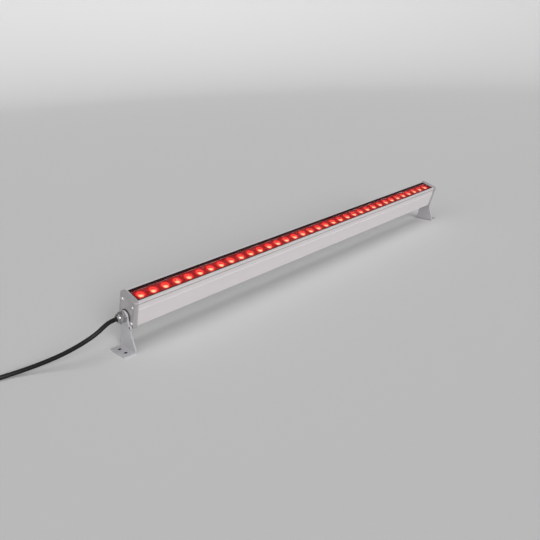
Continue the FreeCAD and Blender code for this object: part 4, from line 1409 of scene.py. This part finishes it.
@dataclass
class Brackets(Assembly):
    """The two bent foot brackets."""

    edge: float = 0.35 * MM

    def build(self) -> None:
        """Soften the plates' edges."""
        for body in (Body.BRACKET_LEFT, Body.BRACKET_RIGHT):
            soften(body.value, self.finishes.bracket, self.edge, body)


# ---- the cable -------------------------------------------------------------------

@dataclass
class Cable(Assembly):
    """The black cable: free stretch, flat coil, tie, cores and strands."""

    radius: float = 4.0 * MM
    length: float = 1.05
    exit_x: float = -520.5 * MM
    free_points: tuple[Point, ...] = (
        (-0.5340, 0.0038, 0.0685),
        (-0.5480, 0.0022, 0.0640),
        (-0.5625, 0.0018, 0.0574),
        (-0.5790, 0.0057, 0.0500),
        (-0.5980, 0.0146, 0.0406),
        (-0.6210, 0.0295, 0.0291),
        (-0.6480, 0.0489, 0.0178),
        (-0.6780, 0.0676, 0.0091),
        (-0.7070, 0.0802, 0.0055),
        (-0.7300, 0.0844, 0.0053),
        (-0.7500, 0.0844, 0.0053),
    )
    coil_radius: float = 54.0 * MM
    coil_step: float = 4.25 * MM
    half_turns: int = 5
    points_per_half: int = 8
    tail_radius: float = 32.0 * MM
    tail_points: int = 4
    tail_share: float = 0.4
    tie_width: float = 4.8 * MM
    tie_thick: float = 1.3 * MM
    tie_gap: float = 0.2 * MM
    tie_play: float = 0.02 * MM
    tie_corner_steps: int = 4
    head_length: float = 6.0 * MM
    head_height: float = 3.4 * MM
    head_sink: float = 0.2 * MM
    head_round: float = 0.5 * MM
    tooth_pitch: float = 1.6 * MM
    tooth_half: float = 1.5 * MM
    tooth_height: float = 0.2 * MM
    tooth_sink: float = 0.1 * MM
    first_tooth: float = 3.0 * MM
    toothless: float = 12.0 * MM
    strand_count: int = 7
    strand_radius: float = 0.22 * MM
    strand_spread: float = 2.1
    strand_length: float = 7.0 * MM
    strand_lay: float = 5.0 * MM
    strand_steps: int = 12
    strand_sides: int = 8
    core_offset: float = 1.9 * MM
    core_length: float = 18.0 * MM
    core_count: int = 3
    core_bend: float = 20.0 * MM
    tail: Vector = field(init=False, default_factory=Vector)

    @property
    def exit(self) -> Vector:
        """The middle of the gland's mouth."""
        return Vector((self.exit_x, LAMP.pivot.y, LAMP.pivot.z))

    @property
    def coil_start(self) -> Vector:
        """Where the free stretch goes over into the coil."""
        return Vector(self.free_points[-1]) - Vector((2 * self.radius, 0, 0))

    @staticmethod
    def arc(centre: Vector, heading: int, radius: float, sweep: float,
            count: int) -> list[Vector]:
        """Control points of a flat arc.

        Args:
            centre: The arc's centre.
            heading: The sign of X that the arc bulges towards.
            radius: The arc's radius.
            sweep: The angle that it turns through.
            count: The number of points.

        Returns:
            The points, a little outside the arc.
        """
        half_step = sweep / count / 2
        reach = radius / math.cos(half_step)
        angles = [half_step * (2 * step + 1) for step in range(count)]
        return [centre + Vector((heading * reach * math.sin(angle),
                                 heading * reach * math.cos(angle), 0)) for angle in angles]

    def coil_points(self) -> list[Vector]:
        """The coil, from its outside inwards: half turns, a quarter turn and a tail.

        Returns:
            The control points.
        """
        point = self.coil_start
        points = [point]
        radius, heading = self.coil_radius, -1
        for _ in range(self.half_turns):
            centre = point - Vector((0, heading * radius, 0))
            points += self.arc(centre, heading, radius, math.pi, self.points_per_half)
            point = centre - Vector((0, heading * radius, 0))
            heading = -heading
            radius -= self.coil_step
        centre = point - Vector((0, heading * self.tail_radius, 0))
        points += self.arc(centre, heading, self.tail_radius, math.pi / 2, self.tail_points)
        last = centre + Vector((heading * self.tail_radius, 0, 0))
        end = last - Vector((0, heading * 2 * self.radius, 0))
        return [*points, last.lerp(end, self.tail_share), end]

    def build_sheath(self) -> Piece:
        """Make one smooth curve from the gland through the coil, and note where it ends.

        Returns:
            The curve piece.
        """
        data = bpy.data.curves.new("power_cable", "CURVE")
        data.dimensions = "3D"
        data.bevel_depth = self.radius
        data.bevel_resolution = 6
        data.resolution_u = 8
        data.use_fill_caps = True
        points = [self.exit, *(Vector(point) for point in self.free_points), *self.coil_points()]
        self.tail = points[-1]
        spline = data.splines.new("NURBS")
        spline.points.add(len(points) - 1)
        for held, point in zip(spline.points, points):
            held.co = (*point, 1.0)
        spline.order_u = 3
        spline.use_endpoint_u = True
        data.materials.append(self.finishes.sheath)
        piece = link("power_cable", data)
        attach(piece, Body.LAMP.value)
        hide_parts("cable_lead", "cable_coil")
        LOG.info("piece power_cable: %d route points", len(points))
        return piece

    def build_tie(self) -> Piece:
        """Make a toothed strap round the turns, with its locking head.

        Returns:
            The piece.
        """
        middle = self.coil_start + Vector((0, self.coil_radius, 0))
        turns = (self.half_turns + 1) // 2
        low_x = middle.x - self.coil_radius - self.radius - self.tie_gap
        high_x = low_x + (turns - 1) * 2 * self.coil_step + 2 * self.radius + 2 * self.tie_gap
        low_z, high_z = middle.z - self.radius, middle.z + self.radius
        bm = bmesh.new()
        half = self.tie_width / 2
        rings = [[bm.verts.new((x, middle.y + off, z))
                  for off, (x, z) in ((-half, inner), (-half, outer), (half, outer),
                                      (half, inner))]
                 for inner, outer in self.strap_outline((low_x, high_x), (low_z, high_z))]
        bridge(bm, rings, closed=True)
        top = high_z + self.tie_thick
        for number in range(int((high_x - low_x - self.toothless) / self.tooth_pitch)):
            x = low_x + self.first_tooth + number * self.tooth_pitch
            add_block(bm, Vector((x, middle.y - self.tooth_half, top - self.tooth_sink)),
                      Vector((x + self.tooth_pitch / 2, middle.y + self.tooth_half,
                              top + self.tooth_height)))
        head_x = (low_x + high_x) / 2
        add_block(bm, Vector((head_x, middle.y - half, top - self.head_sink)),
                  Vector((head_x + self.head_length, middle.y + half,
                          high_z + self.head_height)), self.head_round)
        return make_piece("coil_tie_strap", bm, self.finishes.black_plastic,
                          "coil_tie")

    def strap_outline(self, x_span: Pair, z_span: Pair) -> list[tuple[Pair, Pair]]:
        """The strap's inner and outer lines, with rounded outer corners.

        Args:
            x_span: The inside's low and high X.
            z_span: The inside's low and high Z.

        Returns:
            Pairs of an inner and an outer point, in order round the strap.
        """
        pairs = []
        for number, (right, top) in enumerate(((1, 0), (1, 1), (0, 1), (0, 0))):
            for step in range(self.tie_corner_steps + 1):
                angle = math.pi / 2 * (number - 1 + step / self.tie_corner_steps)
                pairs.append(tuple((x_span[right] + out * math.cos(angle),
                                    z_span[top] + out * math.sin(angle))
                                   for out in (self.tie_play, self.tie_thick)))
        return pairs

    def strand_point(self, core: int, along: float, off_x: float, off_z: float) -> Vector:
        """A point beside a core's middle line, which bends on into the coil.

        Args:
            core: The core's number.
            along: How far the point is from the sheath's end.
            off_x: How far it is to the outside of the middle line's own place.
            off_z: How far it is above that place.

        Returns:
            The point.
        """
        around = 2 * math.pi * core / self.core_count
        reach = self.core_bend + self.core_offset * math.cos(around) + off_x
        turn = along / self.core_bend
        axis = self.tail - Vector((self.core_bend, 0, 0))
        return axis + Vector((reach * math.cos(turn), -reach * math.sin(turn),
                              self.core_offset * math.sin(around) + off_z))

    def build_strands(self) -> Piece:
        """Make the twisted bare strands at the end of each core.

        Returns:
            The piece.
        """
        bm = bmesh.new()
        spins = [2 * math.pi * side / self.strand_sides for side in range(self.strand_sides)]
        for number in range(self.core_count * self.strand_count):
            core, strand = divmod(number, self.strand_count)
            off = 0.0 if strand == 0 else self.strand_spread * self.strand_radius
            rings = []
            for step in range(self.strand_steps + 1):
                along = self.strand_length * step / self.strand_steps
                turn = 2 * math.pi * (strand / (self.strand_count - 1) + along / self.strand_lay)
                rings.append([bm.verts.new(self.strand_point(
                    core, self.core_length + along,
                    off * math.cos(turn) + self.strand_radius * math.cos(spin),
                    off * math.sin(turn) + self.strand_radius * math.sin(spin)))
                    for spin in spins])
            bridge(bm, rings)
            bm.faces.new(rings[0])
            bm.faces.new(rings[-1])
        return make_piece("core_strands_twisted", bm, self.finishes.copper,
                          "core_strands")

    def build(self) -> None:
        """Make the cable, its tie and its strands, and dress the cores."""
        sheath = self.build_sheath()
        tie = self.build_tie()
        strands = self.build_strands()
        for name, finish in self.finishes.cores.items():
            dress(finish, name)


def main() -> None:
    """Build the studio and every sub-assembly in order."""
    PhotoCamera().build()
    Studio().build()
    finishes = Finishes()
    for kind in (Cable, Housing, GlassSet, LightModules, Driver, Pivots, Brackets):
        LOG.info("building %s", kind.__name__)
        kind(finishes).build()


if __name__ == "__main__":
    logging.basicConfig(level=logging.INFO, format="%(name)s: %(message)s")
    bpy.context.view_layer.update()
    main()
    bpy.context.view_layer.update()
